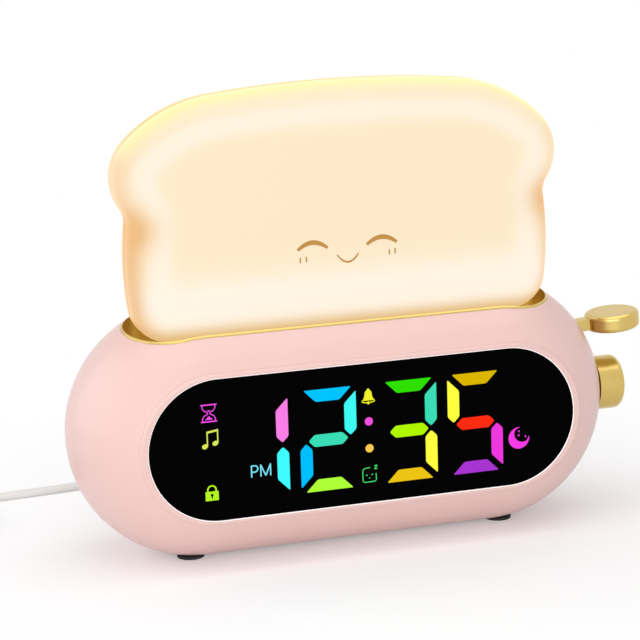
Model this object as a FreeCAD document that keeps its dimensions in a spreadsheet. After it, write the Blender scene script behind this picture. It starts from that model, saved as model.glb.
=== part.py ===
import FreeCAD, Part

import math
import os

import Sketcher

# Kids alarm clock with a bread-slice night light.
# A pill-shaped housing lies along X, its display faces -Y and the lamp stands in a slot on top.
# Pieces are laid out from the clock's datum: the middle of the display window on the front plane,
# with x to the right, y to the back and z up. The datum is then placed so that the origin is
# under the middle of the clock, on the table.

# Driving sizes in millimetres, degrees or counts
SIZES = {
    # housing, a pill with an arched section
    "housing_length": 188.0,
    "housing_height": 86.0,
    "housing_depth": 58.0,
    "section_radius": 34.0,
    "widest_depth": 31.0,
    "housing_wall": 2.5,
    "cover_seam_depth": 50.0,
    "base_flat_drop": 1.4,
    "rear_edge_radius": 2.0,
    "rim_gap": 0.05,
    # display window
    "lens_length": 148.0,
    "lens_height": 48.0,
    "lens_thickness": 2.0,
    "lens_recess": 0.2,
    "lens_clearance": 0.15,
    "lip_width": 1.5,
    "lip_edge_radius": 0.9,
    "window_ledge": 2.0,
    "ledge_thickness": 1.6,
    "film_thickness": 0.2,
    "reflector_depth": 6.0,
    "reflector_clearance": 0.3,
    "board_thickness": 1.6,
    "display_board_length": 124.0,
    "display_board_height": 50.0,
    # digits
    "digit_width": 19.5,
    "digit_height": 34.5,
    "segment_width": 4.1,
    "segment_corner": 1.6,
    "segment_tip_gap": 0.75,
    "cross_inset": 2.9,
    "digit_pitch": 23.4,
    "colon_space": 4.7,
    "last_digit_edge": 48.1,
    "digit_row_drop": 0.55,
    "colon_x": 0.9,
    "colon_radius": 1.4,
    "colon_rise": 4.6,
    "icon_radius": 2.6,
    "icon_column": 53.3,
    "icon_high": 12.8,
    "icon_middle": 4.0,
    "icon_low": 14.0,
    "half_day_mark_x": 36.6,
    "half_day_mark_drop": 8.4,
    "night_icon_drop": 7.5,
    "led_size": 1.6,
    "led_height": 0.6,
    # slot and gold tray
    "slot_length": 150.0,
    "slot_front": 9.0,
    "slot_rear": 46.0,
    "tray_clearance": 0.15,
    "tray_wall": 1.0,
    "tray_floor_level": 30.0,
    "tray_floor_thickness": 1.2,
    "tray_rim_width": 0.7,
    "tray_rim_stand": 0.25,
    # bread-slice lamp
    "lamp_front": 14.5,
    "lamp_thickness": 21.0,
    "lamp_top": 114.5,
    "lamp_bottom": 32.5,
    "lamp_half_width": 76.4,
    "crown_radius": 405.0,
    "shoulder_radius": 48.0,
    "lobe_radius": 17.3,
    "lobe_level": 86.5,
    "waist_radius": 7.0,
    "side_half_width": 73.0,
    "side_level": 57.5,
    "side_radius": 113.0,
    "lamp_corner_radius": 12.0,
    "lamp_edge_radius": 8.0,
    "lamp_wall": 1.8,
    "lamp_base_half_straight": 48.0,
    "lamp_base_radius": 6.0,
    "lamp_screw_spacing": 84.0,
    "lamp_board_stand": 0.6,
    "lamp_board_length": 116.0,
    "lamp_board_width": 10.0,
    "lamp_led_size": 3.5,
    "lamp_led_height": 1.4,
    "lamp_led_pitch": 12.0,
    "lamp_led_count": 9,
    # lever
    "lever_pivot_x": 82.0,
    "lever_pivot_level": 20.7,
    "lever_tilt": 5.0,
    "lever_hub_radius": 2.7,
    "lever_width": 7.6,
    "lever_pin_radius": 1.0,
    "pin_clearance": 0.05,
    "stem_width": 4.4,
    "stem_height": 4.0,
    "paddle_middle": 20.0,
    "paddle_radius": 9.5,
    "paddle_thickness": 6.0,
    "paddle_edge_radius": 1.5,
    "lever_arm_length": 9.5,
    "lever_hole_side_gap": 0.4,
    "lever_hole_top_gap": 0.5,
    "lever_hole_bottom_gap": 1.3,
    "ear_thickness": 1.6,
    "ear_gap": 0.3,
    "ear_inner_x": 78.0,
    "ear_rise": 4.7,
    # lever switch under the tray
    "lever_contact_x": 75.0,
    "lever_board_left": 62.0,
    "lever_board_length": 16.0,
    "lever_board_width": 14.0,
    "plunger_radius": 1.7,
    "plunger_clearance": 0.1,
    "plunger_gap": 0.3,
    "plunger_length": 1.8,
    "plunger_bore_depth": 1.3,
    "switch_side": 6.0,
    # knob and turning switch
    "knob_radius": 9.4,
    "knob_start": 94.1,
    "knob_length": 9.2,
    "knob_edge_radius": 2.2,
    "knob_hollow_radius": 6.6,
    "knob_hollow_depth": 3.2,
    "knob_grip_depth": 5.2,
    "shaft_radius": 3.0,
    "shaft_flat": 1.5,
    "shaft_clearance": 0.05,
    "shaft_tail": 1.7,
    "boss_radius": 8.0,
    "boss_face_x": 89.5,
    "boss_depth": 3.0,
    "spot_face_x": 93.2,
    "bushing_radius": 3.6,
    "bushing_clearance": 0.1,
    "bushing_length": 6.6,
    "nut_across_flats": 10.0,
    "nut_thickness": 1.2,
    "case_side": 12.4,
    "case_length": 7.0,
    "case_wall": 1.0,
    "case_bore": 5.1,
    "rotor_radius": 4.8,
    "rotor_length": 2.6,
    "rotor_gap": 0.3,
    "encoder_board_side": 22.0,
    # rear cover furniture
    "button_radius": 4.0,
    "button_clearance": 0.25,
    "button_flange": 1.0,
    "button_flange_thickness": 1.5,
    "button_pitch": 15.0,
    "button_count": 4,
    "button_first_x": -52.0,
    "button_level": 13.0,
    "button_recess": 0.1,
    "flange_gap": 0.3,
    "main_board_left": -63.0,
    "main_board_length": 75.0,
    "main_board_bottom": -25.5,
    "main_board_height": 47.0,
    "main_board_depth": 45.4,
    "standoff_radius": 2.5,
    "standoff_inset": 3.5,
    "switch_height": 3.5,
    "button_plunger_overlap": 0.2,
    "speaker_x": 40.0,
    "speaker_radius": 19.0,
    "speaker_depth": 4.5,
    "speaker_wall": 1.0,
    "magnet_radius": 10.0,
    "magnet_length": 5.0,
    "cone_thickness": 0.6,
    "cone_inner_radius": 5.0,
    "cone_gap": 0.2,
    "grille_hole_radius": 1.1,
    "grille_ring_pitch": 4.4,
    "grille_rings": 3,
    "socket_x": -22.0,
    "socket_level": -18.0,
    "socket_side": 9.0,
    "socket_bore": 2.0,
    "socket_pin_radius": 0.5,
    "socket_depth": 7.0,
    "socket_recess": 0.2,
    "socket_clearance": 0.2,
    "cell_x": -52.0,
    "cell_level": -9.5,
    "cell_radius": 10.0,
    "cell_thickness": 3.2,
    "holder_wall": 1.5,
    "holder_base": 5.4,
    "holder_rim": 2.8,
    "cell_clearance": 0.2,
    "hatch_radius": 12.0,
    "hatch_clearance": 0.15,
    "hatch_ledge": 1.4,
    "hatch_thickness": 1.2,
    "coin_slot_length": 12.0,
    "coin_slot_width": 1.8,
    "coin_slot_depth": 0.7,
    # screws and posts
    "post_x": 68.0,
    "post_level": 19.0,
    "post_radius": 3.0,
    "screw_radius": 1.25,
    "screw_head_radius": 2.5,
    "screw_head_height": 1.6,
    "screw_length": 12.0,
    "screw_clearance": 0.25,
    "thread_clearance": 0.05,
    "screw_head_recess": 0.3,
    # feet
    "foot_x": 55.3,
    "foot_depth_front": 24.6,
    "foot_depth_rear": 37.4,
    "foot_radius": 4.6,
    "foot_stand": 1.0,
    # supply cord and its plugs
    "cord_radius": 1.5,
    "plug_body_radius": 4.2,
    "plug_body_length": 15.0,
    "plug_bevel": 0.6,
    "plug_gap": 0.3,
    "plug_barrel_radius": 1.75,
    "plug_barrel_bore": 0.7,
    "plug_barrel_length": 6.0,
    "relief_length": 14.0,
    "relief_end_radius": 2.3,
    "coil_outer_radius": 22.6,
    "coil_pitch": 3.5,
    "coil_turns": 4,
    "coil_layer_step": 3.5,
    "coil_lead": 22.0,
    "far_plug_length": 24.0,
    "far_plug_width": 15.6,
    "far_plug_thickness": 9.6,
    "far_plug_edge_radius": 1.5,
    "far_shell_length": 14.0,
    "far_shell_width": 12.0,
    "far_shell_thickness": 4.5,
    "far_shell_wall": 0.4,
    "far_tongue_length": 13.0,
    "far_tongue_width": 11.0,
    "far_tongue_thickness": 1.8,
}

doc = FreeCAD.newDocument("alarm_clock")
sheet = doc.addObject("Spreadsheet::Sheet", "Sizes")
for row, (alias, number) in enumerate(SIZES.items(), start=1):
    sheet.set("A%d" % row, alias)
    sheet.set("B%d" % row, str(number))
    sheet.setAlias("B%d" % row, alias)
doc.recompute()


class Size:
    """A length that carries its number and the sheet expression that gives it."""

    def __init__(self, value, text):
        self.value = float(value)
        self.text = text

    def _join(self, other, sign, result):
        return Size(result, "(%s %s %s)" % (self.text, sign, size(other).text))

    def __add__(self, other):
        return self._join(other, "+", self.value + size(other).value)

    def __sub__(self, other):
        return self._join(other, "-", self.value - size(other).value)

    def __mul__(self, other):
        return self._join(other, "*", self.value * size(other).value)

    def __truediv__(self, other):
        return self._join(other, "/", self.value / size(other).value)

    def __radd__(self, other):
        return size(other) + self

    def __rsub__(self, other):
        return size(other) - self

    def __rmul__(self, other):
        return size(other) * self

    def __neg__(self):
        return Size(-self.value, "(0 - %s)" % self.text)

    def root(self):
        """The square root."""
        return Size(math.sqrt(self.value), "sqrt(%s)" % self.text)


def size(value):
    """A number or a named value as a Size."""
    if isinstance(value, Size):
        return value
    if isinstance(value, str):
        return Size(getattr(sheet, value), "Sizes." + value)
    return Size(value, repr(float(value)))


ZERO = size(0.0)
HALF = {alias: size(alias) / 2 for alias in SIZES}
S = {alias: size(alias) for alias in SIZES}

# Places that follow from the driving sizes
end_x = HALF["housing_length"] - HALF["housing_height"]
arc_level = HALF["housing_height"] - S["section_radius"]
lip_half_height = HALF["lens_height"] + S["lip_width"]
lip_half_straight = HALF["lens_length"] - HALF["lens_height"]
rear_inside = S["housing_depth"] - S["housing_wall"]
inner_radius = S["section_radius"] - S["housing_wall"]
ledge_back = S["lens_recess"] + S["lens_thickness"] + S["ledge_thickness"]
base_level = S["base_flat_drop"] - HALF["housing_height"]
slot_middle = (S["slot_front"] + S["slot_rear"]) / 2
slot_radius = (S["slot_rear"] - S["slot_front"]) / 2
slot_half_straight = HALF["slot_length"] - slot_radius
lamp_middle = S["lamp_front"] + HALF["lamp_thickness"]
lever_reach = S["lever_pivot_x"] + S["paddle_middle"] + S["paddle_radius"]
floor_level = base_level - S["foot_stand"]

# The datum in the part's own frame: origin under the middle of the clock, on the table
datum_x = (HALF["housing_length"] - lever_reach) / 2
datum_y = -HALF["housing_depth"]
datum_z = -floor_level

OUTPUTS = []


def bind(thing, prop, value):
    """Binds one property to the sheet."""
    thing.setExpression(prop, size(value).text)


def place(thing, x=ZERO, y=ZERO, z=ZERO):
    """Puts a piece at a point given from the clock's datum."""
    bind(thing, "Placement.Base.x", datum_x + x)
    bind(thing, "Placement.Base.y", datum_y + y)
    bind(thing, "Placement.Base.z", datum_z + z)


def keep(thing, label):
    """Marks a finished piece, whose label names its file."""
    thing.Label = label
    OUTPUTS.append(thing)
    return thing


def body(label, x=ZERO, y=ZERO, z=ZERO, part=False):
    """A new PartDesign body laid out from the clock's datum, or from a point given from it."""
    made = doc.addObject("PartDesign::Body", "Body_" + label)
    place(made, x, y, z)
    return made if part else keep(made, label)


def origin_feature(owner, role):
    """A plane or axis of a body's own origin."""
    for feature in owner.Origin.OriginFeatures:
        if feature.Role == role:
            return feature


def sketch_on(owner, plane, at=ZERO):
    """A sketch on a body's own origin plane, moved along that plane's global axis."""
    made = owner.newObject("Sketcher::SketchObject", "Sketch")
    made.AttachmentSupport = [(origin_feature(owner, plane + "_Plane"), "")]
    made.MapMode = "FlatFace"
    at = size(at)
    bind(made, "AttachmentOffset.Base.z", -at if plane == "XZ" else at)
    return made


def fix(sketch, geometry, point, x=None, y=None):
    """Fixes one point of a curve at a place bound to the sheet."""
    for kind, axis, value in (("DistanceX", -2, x), ("DistanceY", -1, y)):
        if value is None:
            continue
        value = size(value)
        if abs(value.value) < 1e-9:
            sketch.addConstraint(Sketcher.Constraint("PointOnObject", geometry, point, axis))
            continue
        index = sketch.addConstraint(Sketcher.Constraint(kind, -1, 1, geometry, point, value.value))
        if "Sizes." in value.text:
            sketch.setExpression("Constraints[%d]" % index, value.text)


def fix_radius(sketch, geometry, value):
    """Binds the radius of a circle or an arc."""
    value = size(value)
    index = sketch.addConstraint(Sketcher.Constraint("Radius", geometry, value.value))
    if "Sizes." in value.text:
        sketch.setExpression("Constraints[%d]" % index, value.text)


def point(x, y):
    return FreeCAD.Vector(size(x).value, size(y).value, 0)


def circle(sketch, radius, x=ZERO, y=ZERO):
    """A circle with its middle and radius bound."""
    normal = FreeCAD.Vector(0, 0, 1)
    made = sketch.addGeometry(Part.Circle(point(x, y), normal, size(radius).value), False)
    fix(sketch, made, 3, x, y)
    fix_radius(sketch, made, radius)


def polygon(sketch, corners):
    """A closed outline of straight sides whose corners are bound."""
    count = len(corners)
    first = None
    for i in range(count):
        start, end = corners[i], corners[(i + 1) % count]
        made = sketch.addGeometry(Part.LineSegment(point(*start), point(*end)), False)
        first = made if first is None else first
        fix(sketch, made, 1, *start)
    for i in range(count):
        following = first + (i + 1) % count
        sketch.addConstraint(Sketcher.Constraint("Coincident", first + i, 2, following, 1))


def rectangle(sketch, x, y, width, height):
    """A rectangle from its lower left corner."""
    x, y = size(x), size(y)
    polygon(sketch, [(x, y), (x + width, y), (x + width, y + height), (x, y + height)])


def arc_of(middle, radius, start, end):
    """An arc, counter-clockwise from angle start to angle end in radians."""
    normal = FreeCAD.Vector(0, 0, 1)
    whole = Part.Circle(point(*middle), normal, size(radius).value)
    return Part.ArcOfCircle(whole, start, end)


def stadium(sketch, half_straight, radius, x=ZERO, y=ZERO):
    """Two straight sides joined by half circles, long along the sketch's first axis."""
    half_straight, radius, x, y = size(half_straight), size(radius), size(x), size(y)
    left, right = x - half_straight, x + half_straight
    low, high = y - radius, y + radius
    top = sketch.addGeometry(Part.LineSegment(point(right, high), point(left, high)), False)
    turn = math.pi / 2
    west = sketch.addGeometry(arc_of((left, y), radius, turn, 3 * turn), False)
    bottom = sketch.addGeometry(Part.LineSegment(point(left, low), point(right, low)), False)
    east = sketch.addGeometry(arc_of((right, y), radius, -turn, turn), False)
    fix(sketch, west, 3, left, y)
    fix(sketch, east, 3, right, y)
    fix_radius(sketch, west, radius)
    fix_radius(sketch, east, radius)
    fix(sketch, west, 1, left)
    fix(sketch, west, 2, left)
    fix(sketch, east, 1, right)
    fix(sketch, east, 2, right)
    for a, a_end, b, b_end in ((top, 2, west, 1), (west, 2, bottom, 1), (bottom, 2, east, 1)):
        sketch.addConstraint(Sketcher.Constraint("Coincident", a, a_end, b, b_end))
    sketch.addConstraint(Sketcher.Constraint("Coincident", east, 2, top, 1))


def extrude(owner, cut, plane, at, length, draw):
    """Pads or pockets a drawn outline from a plane at a level, always towards the global axis."""
    sketch = sketch_on(owner, plane, at)
    draw(sketch)
    made = owner.newObject("PartDesign::Pocket" if cut else "PartDesign::Pad", "Extrusion")
    made.Profile = sketch
    made.Type = 0
    bind(made, "Length", length)
    towards_normal = plane != "XZ"
    made.Reversed = towards_normal if cut else not towards_normal
    doc.recompute()
    return made


def pad(owner, plane, at, length, draw):
    return extrude(owner, False, plane, at, length, draw)


def pocket(owner, plane, at, length, draw):
    """A cut that has to take something away, or the piece is wrong."""
    before = owner.Shape.Volume
    made = extrude(owner, True, plane, at, length, draw)
    if owner.Shape.Volume > before - 1e-4:
        raise RuntimeError("a cut in %s removed nothing" % owner.Label)
    return made


def turned(owner, cut, plane, axis, at, angle, draw):
    """Revolves or grooves a drawn outline about the sketch's H_Axis or V_Axis."""
    sketch = sketch_on(owner, plane, at)
    draw(sketch)
    made = owner.newObject("PartDesign::Groove" if cut else "PartDesign::Revolution", "Turning")
    made.Profile = sketch
    made.ReferenceAxis = (sketch, [axis])
    made.Angle = angle
    doc.recompute()
    return made


def mirrored(owner, feature, plane="YZ"):
    """The same feature on the other side of one of the body's planes."""
    made = owner.newObject("PartDesign::Mirrored", "Mirrored")
    made.Originals = [feature]
    made.MirrorPlane = (origin_feature(owner, plane + "_Plane"), [""])
    owner.Tip = made
    doc.recompute()
    return made


def round_edges(owner, radius, wanted, kind="Fillet"):
    """Rounds or chamfers the edges for which wanted(edge) is true."""
    tip = owner.Tip
    shape = tip.Shape
    names = ["Edge%d" % (i + 1) for i, edge in enumerate(shape.Edges) if wanted(edge)]
    if not names:
        raise RuntimeError("no edge to round on %s" % owner.Label)
    made = owner.newObject("PartDesign::" + kind, kind)
    made.Base = (tip, names)
    bind(made, "Radius" if kind == "Fillet" else "Size", radius)
    doc.recompute()
    return made


def flat_at(axis, level):
    """A test for edges that lie wholly in the plane where one coordinate has one value."""
    level = size(level).value
    low, high = axis + "Min", axis + "Max"

    def test(edge):
        box = edge.BoundBox
        return abs(getattr(box, low) - level) < 1e-3 and abs(getattr(box, high) - level) < 1e-3

    return test


def box(label, x, y, z, width, depth, height, part=False):
    """A block from its lowest corner, given from the clock's datum."""
    made = doc.addObject("Part::Box", "Box_" + label)
    bind(made, "Length", width)
    bind(made, "Width", depth)
    bind(made, "Height", height)
    place(made, size(x), size(y), size(z))
    return made if part else keep(made, label)


AXES = {
    "x": FreeCAD.Rotation(FreeCAD.Vector(0, 1, 0), 90),
    "y": FreeCAD.Rotation(FreeCAD.Vector(1, 0, 0), -90),
    "z": FreeCAD.Rotation(),
}


def cylinder(label, axis, x, y, z, radius, length, part=False):
    """A round bar from the middle of its lower end, given from the clock's datum."""
    made = doc.addObject("Part::Cylinder", "Cylinder_" + label)
    bind(made, "Radius", radius)
    bind(made, "Height", length)
    made.Placement = FreeCAD.Placement(FreeCAD.Vector(), AXES[axis])
    place(made, size(x), size(y), size(z))
    return made if part else keep(made, label)


def minus(label, base, *tools, part=False):
    """A piece with others cut out of it."""
    made = base
    for i, tool in enumerate(tools):
        cut = doc.addObject("Part::Cut", "Cut_%s_%d" % (label, i))
        cut.Base, cut.Tool = made, tool
        made = cut
    return made if part else keep(made, label)


def plus(label, *pieces, part=False):
    """Several shapes as one solid."""
    made = doc.addObject("Part::MultiFuse", "Fuse_" + label)
    made.Shapes = list(pieces)
    return made if part else keep(made, label)


def group(label, pieces):
    """Like pieces that stay separate solids under one name."""
    made = doc.addObject("Part::Compound", "Group_" + label)
    made.Links = pieces
    return keep(made, label)


# The arched pill


def arched_side(sketch, front, rear, radius, sign, lip=None):
    """One half of the section, from the front plane over the arch to the rear plane.

    sign is 1 for the upper half and -1 for the lower. Returns the first and last line."""
    level = arc_level.value * sign
    middle_y = S["widest_depth"].value
    reach = size(radius).value

    def angle_at(depth):
        return math.acos(max(-1.0, min(1.0, (depth - middle_y) / reach))) * sign

    front_value, rear_value = size(front).value, size(rear).value
    if lip is None:
        start_angle = angle_at(front_value)
    else:
        start_angle = (math.pi - math.asin((size(lip).value - arc_level.value) / reach)) * sign
    end_angle = angle_at(rear_value)
    low, high = sorted((start_angle, end_angle))
    arc = sketch.addGeometry(arc_of((S["widest_depth"], level), radius, low, high), False)
    fix(sketch, arc, 3, S["widest_depth"], arc_level * sign)
    fix_radius(sketch, arc, radius)
    rear_point, front_point = (1, 2) if sign > 0 else (2, 1)
    fix(sketch, arc, rear_point, rear)
    begin = FreeCAD.Vector(middle_y + reach * math.cos(start_angle), level + reach * math.sin(start_angle), 0)
    finish = FreeCAD.Vector(rear_value, level + reach * math.sin(end_angle), 0)
    rear_foot = FreeCAD.Vector(rear_value, 0, 0)
    rear_line = sketch.addGeometry(Part.LineSegment(finish, rear_foot), False)
    sketch.addConstraint(Sketcher.Constraint("Coincident", arc, rear_point, rear_line, 1))
    fix(sketch, rear_line, 2, rear, ZERO)
    front_foot = FreeCAD.Vector(front_value, 0, 0)
    if lip is None:
        fix(sketch, arc, front_point, front)
        front_line = sketch.addGeometry(Part.LineSegment(begin, front_foot), False)
        sketch.addConstraint(Sketcher.Constraint("Coincident", arc, front_point, front_line, 1))
        fix(sketch, front_line, 2, front, ZERO)
        return front_line, rear_line
    corner = FreeCAD.Vector(front_value, begin.y, 0)
    step = sketch.addGeometry(Part.LineSegment(begin, corner), False)
    front_line = sketch.addGeometry(Part.LineSegment(corner, front_foot), False)
    sketch.addConstraint(Sketcher.Constraint("Coincident", arc, front_point, step, 1))
    sketch.addConstraint(Sketcher.Constraint("Coincident", step, 2, front_line, 1))
    fix(sketch, arc, front_point, None, size(lip) * sign)
    fix(sketch, step, 2, front, size(lip) * sign)
    fix(sketch, front_line, 2, front, ZERO)
    return front_line, rear_line


def whole_section(front, rear, radius, lip=None):
    def draw(sketch):
        front_up, rear_up = arched_side(sketch, front, rear, radius, 1, lip)
        front_down, rear_down = arched_side(sketch, front, rear, radius, -1, lip)

    return draw


def half_section(front, rear, radius, lip=None):
    def draw(sketch):
        front_line, rear_line = arched_side(sketch, front, rear, radius, 1, lip)
        base = sketch.addGeometry(Part.LineSegment(point(front, ZERO), point(rear, ZERO)), False)
        sketch.addConstraint(Sketcher.Constraint("Coincident", base, 1, front_line, 2))
        sketch.addConstraint(Sketcher.Constraint("Coincident", base, 2, rear_line, 2))

    return draw


def pill(owner, cut, front, rear, radius, lip=None):
    """Adds or cuts the arched pill: a straight middle and two half-turned ends."""
    middle = extrude(owner, cut, "YZ", -end_x, end_x * 2, whole_section(front, rear, radius, lip))
    end = turned(owner, cut, "YZ", "H_Axis", end_x, 180, half_section(front, rear, radius, lip))
    mirrored(owner, end)
    return middle


# Front housing


def stadium_of(half_straight, radius, x=ZERO, y=ZERO):
    return lambda sketch: stadium(sketch, half_straight, radius, x, y)


def circle_of(radius, x=ZERO, y=ZERO):
    return lambda sketch: circle(sketch, radius, x, y)


def rectangle_of(x, y, width, height):
    return lambda sketch: rectangle(sketch, x, y, width, height)


def circles_of(radius, places):
    def draw(sketch):
        for x, y in places:
            circle(sketch, radius, x, y)

    return draw


lens_back = S["lens_recess"] + S["lens_thickness"]
window_radius = HALF["lens_height"] - S["window_ledge"]
wall_middle = HALF["housing_height"] - HALF["housing_wall"]
post_places = [(S["post_x"] * i, S["post_level"] * k) for i in (-1, 1) for k in (-1, 1)]
ear_offset = HALF["lever_width"] + S["ear_gap"]
tilt_rise = Size(math.tan(math.radians(SIZES["lever_tilt"])), "tan(Sizes.lever_tilt * 1 deg)")
tray_underside = S["tray_floor_level"] - S["tray_floor_thickness"]

housing = body("front_housing")
pill(housing, False, ZERO, S["cover_seam_depth"], S["section_radius"], lip_half_height)
round_edges(housing, S["lip_edge_radius"], flat_at("Y", ZERO))
pill(housing, True, ledge_back, S["cover_seam_depth"], inner_radius)
pocket(housing, "XZ", ZERO, lens_back, stadium_of(lip_half_straight, HALF["lens_height"]))
pocket(housing, "XZ", lens_back, S["ledge_thickness"], stadium_of(lip_half_straight, window_radius))
slot_height = S["housing_height"] - tray_underside
pocket(housing, "XY", tray_underside, slot_height, stadium_of(slot_half_straight, slot_radius, ZERO, slot_middle))
flat_outline = rectangle_of(-HALF["housing_length"], ZERO, S["housing_length"], S["housing_depth"])
pocket(housing, "XY", -S["housing_height"], S["housing_height"] + base_level, flat_outline)

# Screw towers stand on the back of the front wall
tower_length = S["cover_seam_depth"] - ledge_back
pad(housing, "XZ", ledge_back, tower_length, circles_of(S["post_radius"], post_places))
thread_start = S["cover_seam_depth"] - S["screw_length"]
thread_bore = circles_of(S["screw_radius"] + S["thread_clearance"], post_places)
pocket(housing, "XZ", thread_start, S["screw_length"], thread_bore)

# Boss, hole and spot face for the turning switch behind the knob
knob_axis = (S["widest_depth"], ZERO)
pad(housing, "YZ", S["boss_face_x"], S["boss_depth"], circle_of(S["boss_radius"], *knob_axis))
boss_hole = circle_of(S["bushing_radius"] + S["bushing_clearance"], *knob_axis)
pocket(housing, "YZ", S["boss_face_x"], S["boss_depth"] * 2, boss_hole)
pocket(housing, "YZ", S["spot_face_x"], S["boss_depth"], circle_of(S["knob_hollow_radius"], *knob_axis))


def ear_outline(sketch):
    """An ear that carries the lever's pin and grows out of the end wall."""
    low = S["lever_pivot_level"] - S["ear_rise"]
    high = S["lever_pivot_level"] + S["ear_rise"]
    low_x = end_x + (wall_middle * wall_middle - low * low).root()
    high_x = end_x + (wall_middle * wall_middle - high * high).root()
    polygon(sketch, [(S["ear_inner_x"], low), (low_x, low), (high_x, high), (S["ear_inner_x"], high)])


ear_front = S["widest_depth"] - ear_offset - S["ear_thickness"]
ear_rear = S["widest_depth"] + ear_offset
pad(housing, "XZ", ear_front, S["ear_thickness"], ear_outline)
pad(housing, "XZ", ear_rear, S["ear_thickness"], ear_outline)
pin_length = (ear_offset + S["ear_thickness"]) * 2
pin_hole = circle_of(S["lever_pin_radius"] + S["pin_clearance"], S["lever_pivot_x"], S["lever_pivot_level"])
pocket(housing, "XZ", ear_front, pin_length, pin_hole)

# The lever's hole is deeper below the stem, where the lever swings down
hole_middle = S["lever_pivot_level"] + (S["boss_face_x"] - S["lever_pivot_x"]) * tilt_rise
hole_low = hole_middle - HALF["stem_height"] - S["lever_hole_bottom_gap"]
hole_height = S["stem_height"] + S["lever_hole_bottom_gap"] + S["lever_hole_top_gap"]
hole_side = S["widest_depth"] - HALF["stem_width"] - S["lever_hole_side_gap"]
hole_width = S["stem_width"] + S["lever_hole_side_gap"] * 2
hole_length = S["knob_start"] - S["lever_pivot_x"]
pocket(housing, "YZ", S["lever_pivot_x"], hole_length, rectangle_of(hole_side, hole_low, hole_width, hole_height))

# Rear cover

board_back = S["main_board_depth"] + S["board_thickness"]
standoff_x = [S["main_board_left"] + S["standoff_inset"]]
standoff_x.append(S["main_board_left"] + S["main_board_length"] - S["standoff_inset"])
standoff_z = [S["main_board_bottom"] + S["standoff_inset"]]
standoff_z.append(S["main_board_bottom"] + S["main_board_height"] - S["standoff_inset"])
standoffs = [(x, z) for x in standoff_x for z in standoff_z]
button_places = [
    (S["button_first_x"] + S["button_pitch"] * i, S["button_level"])
    for i in range(int(SIZES["button_count"]))
]
grille_places = [(S["speaker_x"], ZERO)]
for ring in range(1, int(SIZES["grille_rings"]) + 1):
    for hole in range(6 * ring):
        turn = math.pi / 3 / ring * hole
        reach = S["grille_ring_pitch"] * ring
        grille_places.append((S["speaker_x"] + reach * math.cos(turn), reach * math.sin(turn)))
socket_half = HALF["socket_side"] + S["socket_clearance"]
hatch_seat = S["housing_depth"] - S["hatch_thickness"]
head_seat = S["housing_depth"] - S["screw_head_recess"] - S["screw_head_height"]

cover = body("rear_cover")
pill(cover, False, S["cover_seam_depth"], S["housing_depth"], S["section_radius"])
round_edges(cover, S["rear_edge_radius"], flat_at("Y", S["housing_depth"]))
pill(cover, True, S["cover_seam_depth"], rear_inside, inner_radius)
cover_boss_length = rear_inside - S["cover_seam_depth"]
pad(cover, "XZ", S["cover_seam_depth"], cover_boss_length, circles_of(S["post_radius"], post_places))
pad(cover, "XZ", board_back, rear_inside - board_back, circles_of(S["standoff_radius"], standoffs))
screw_way = circles_of(S["screw_radius"] + S["screw_clearance"], post_places)
pocket(cover, "XZ", S["cover_seam_depth"], S["housing_depth"] - S["cover_seam_depth"], screw_way)
head_way = circles_of(S["screw_head_radius"] + S["screw_clearance"], post_places)
pocket(cover, "XZ", head_seat, S["housing_depth"] - head_seat, head_way)
button_way = circles_of(S["button_radius"] + S["button_clearance"], button_places)
pocket(cover, "XZ", rear_inside, S["housing_wall"], button_way)
pocket(cover, "XZ", rear_inside, S["housing_wall"], circles_of(S["grille_hole_radius"], grille_places))
socket_low_x = S["socket_x"] - socket_half
socket_low_z = S["socket_level"] - socket_half
socket_way = rectangle_of(socket_low_x, socket_low_z, socket_half * 2, socket_half * 2)
pocket(cover, "XZ", rear_inside, S["housing_wall"], socket_way)
cell_place = (S["cell_x"], S["cell_level"])
pocket(cover, "XZ", rear_inside, S["housing_wall"], circle_of(S["hatch_radius"] - S["hatch_ledge"], *cell_place))
hatch_way = circle_of(S["hatch_radius"] + S["hatch_clearance"], *cell_place)
pocket(cover, "XZ", hatch_seat, S["hatch_thickness"], hatch_way)

# Display

lens = body("display_lens")
lens_radius = HALF["lens_height"] - S["lens_clearance"]
pad(lens, "XZ", S["lens_recess"], S["lens_thickness"], stadium_of(lip_half_straight, lens_radius))

inner_window_radius = window_radius - S["reflector_clearance"]
film = body("display_film")
pad(film, "XZ", lens_back, S["film_thickness"], stadium_of(lip_half_straight, inner_window_radius))

digit_low = -HALF["digit_height"] - S["digit_row_drop"]
digit_edges = [S["last_digit_edge"]]
digit_edges.append(digit_edges[0] - S["digit_pitch"])
digit_edges.append(digit_edges[1] - S["digit_pitch"] - S["colon_space"])
digit_edges.append(digit_edges[2] - S["digit_pitch"])
row_middle = -S["digit_row_drop"]
icon_places = [
    (-S["icon_column"], S["icon_high"]),
    (-S["icon_column"], S["icon_middle"]),
    (-S["icon_column"], -S["icon_low"]),
    (-S["half_day_mark_x"], -S["half_day_mark_drop"]),
    (S["colon_x"], S["icon_high"]),
    (S["colon_x"], -S["icon_low"]),
    (S["icon_column"], -S["night_icon_drop"]),
]
dot_places = [(S["colon_x"], row_middle + S["colon_rise"] * i) for i in (-1, 1)]


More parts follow.
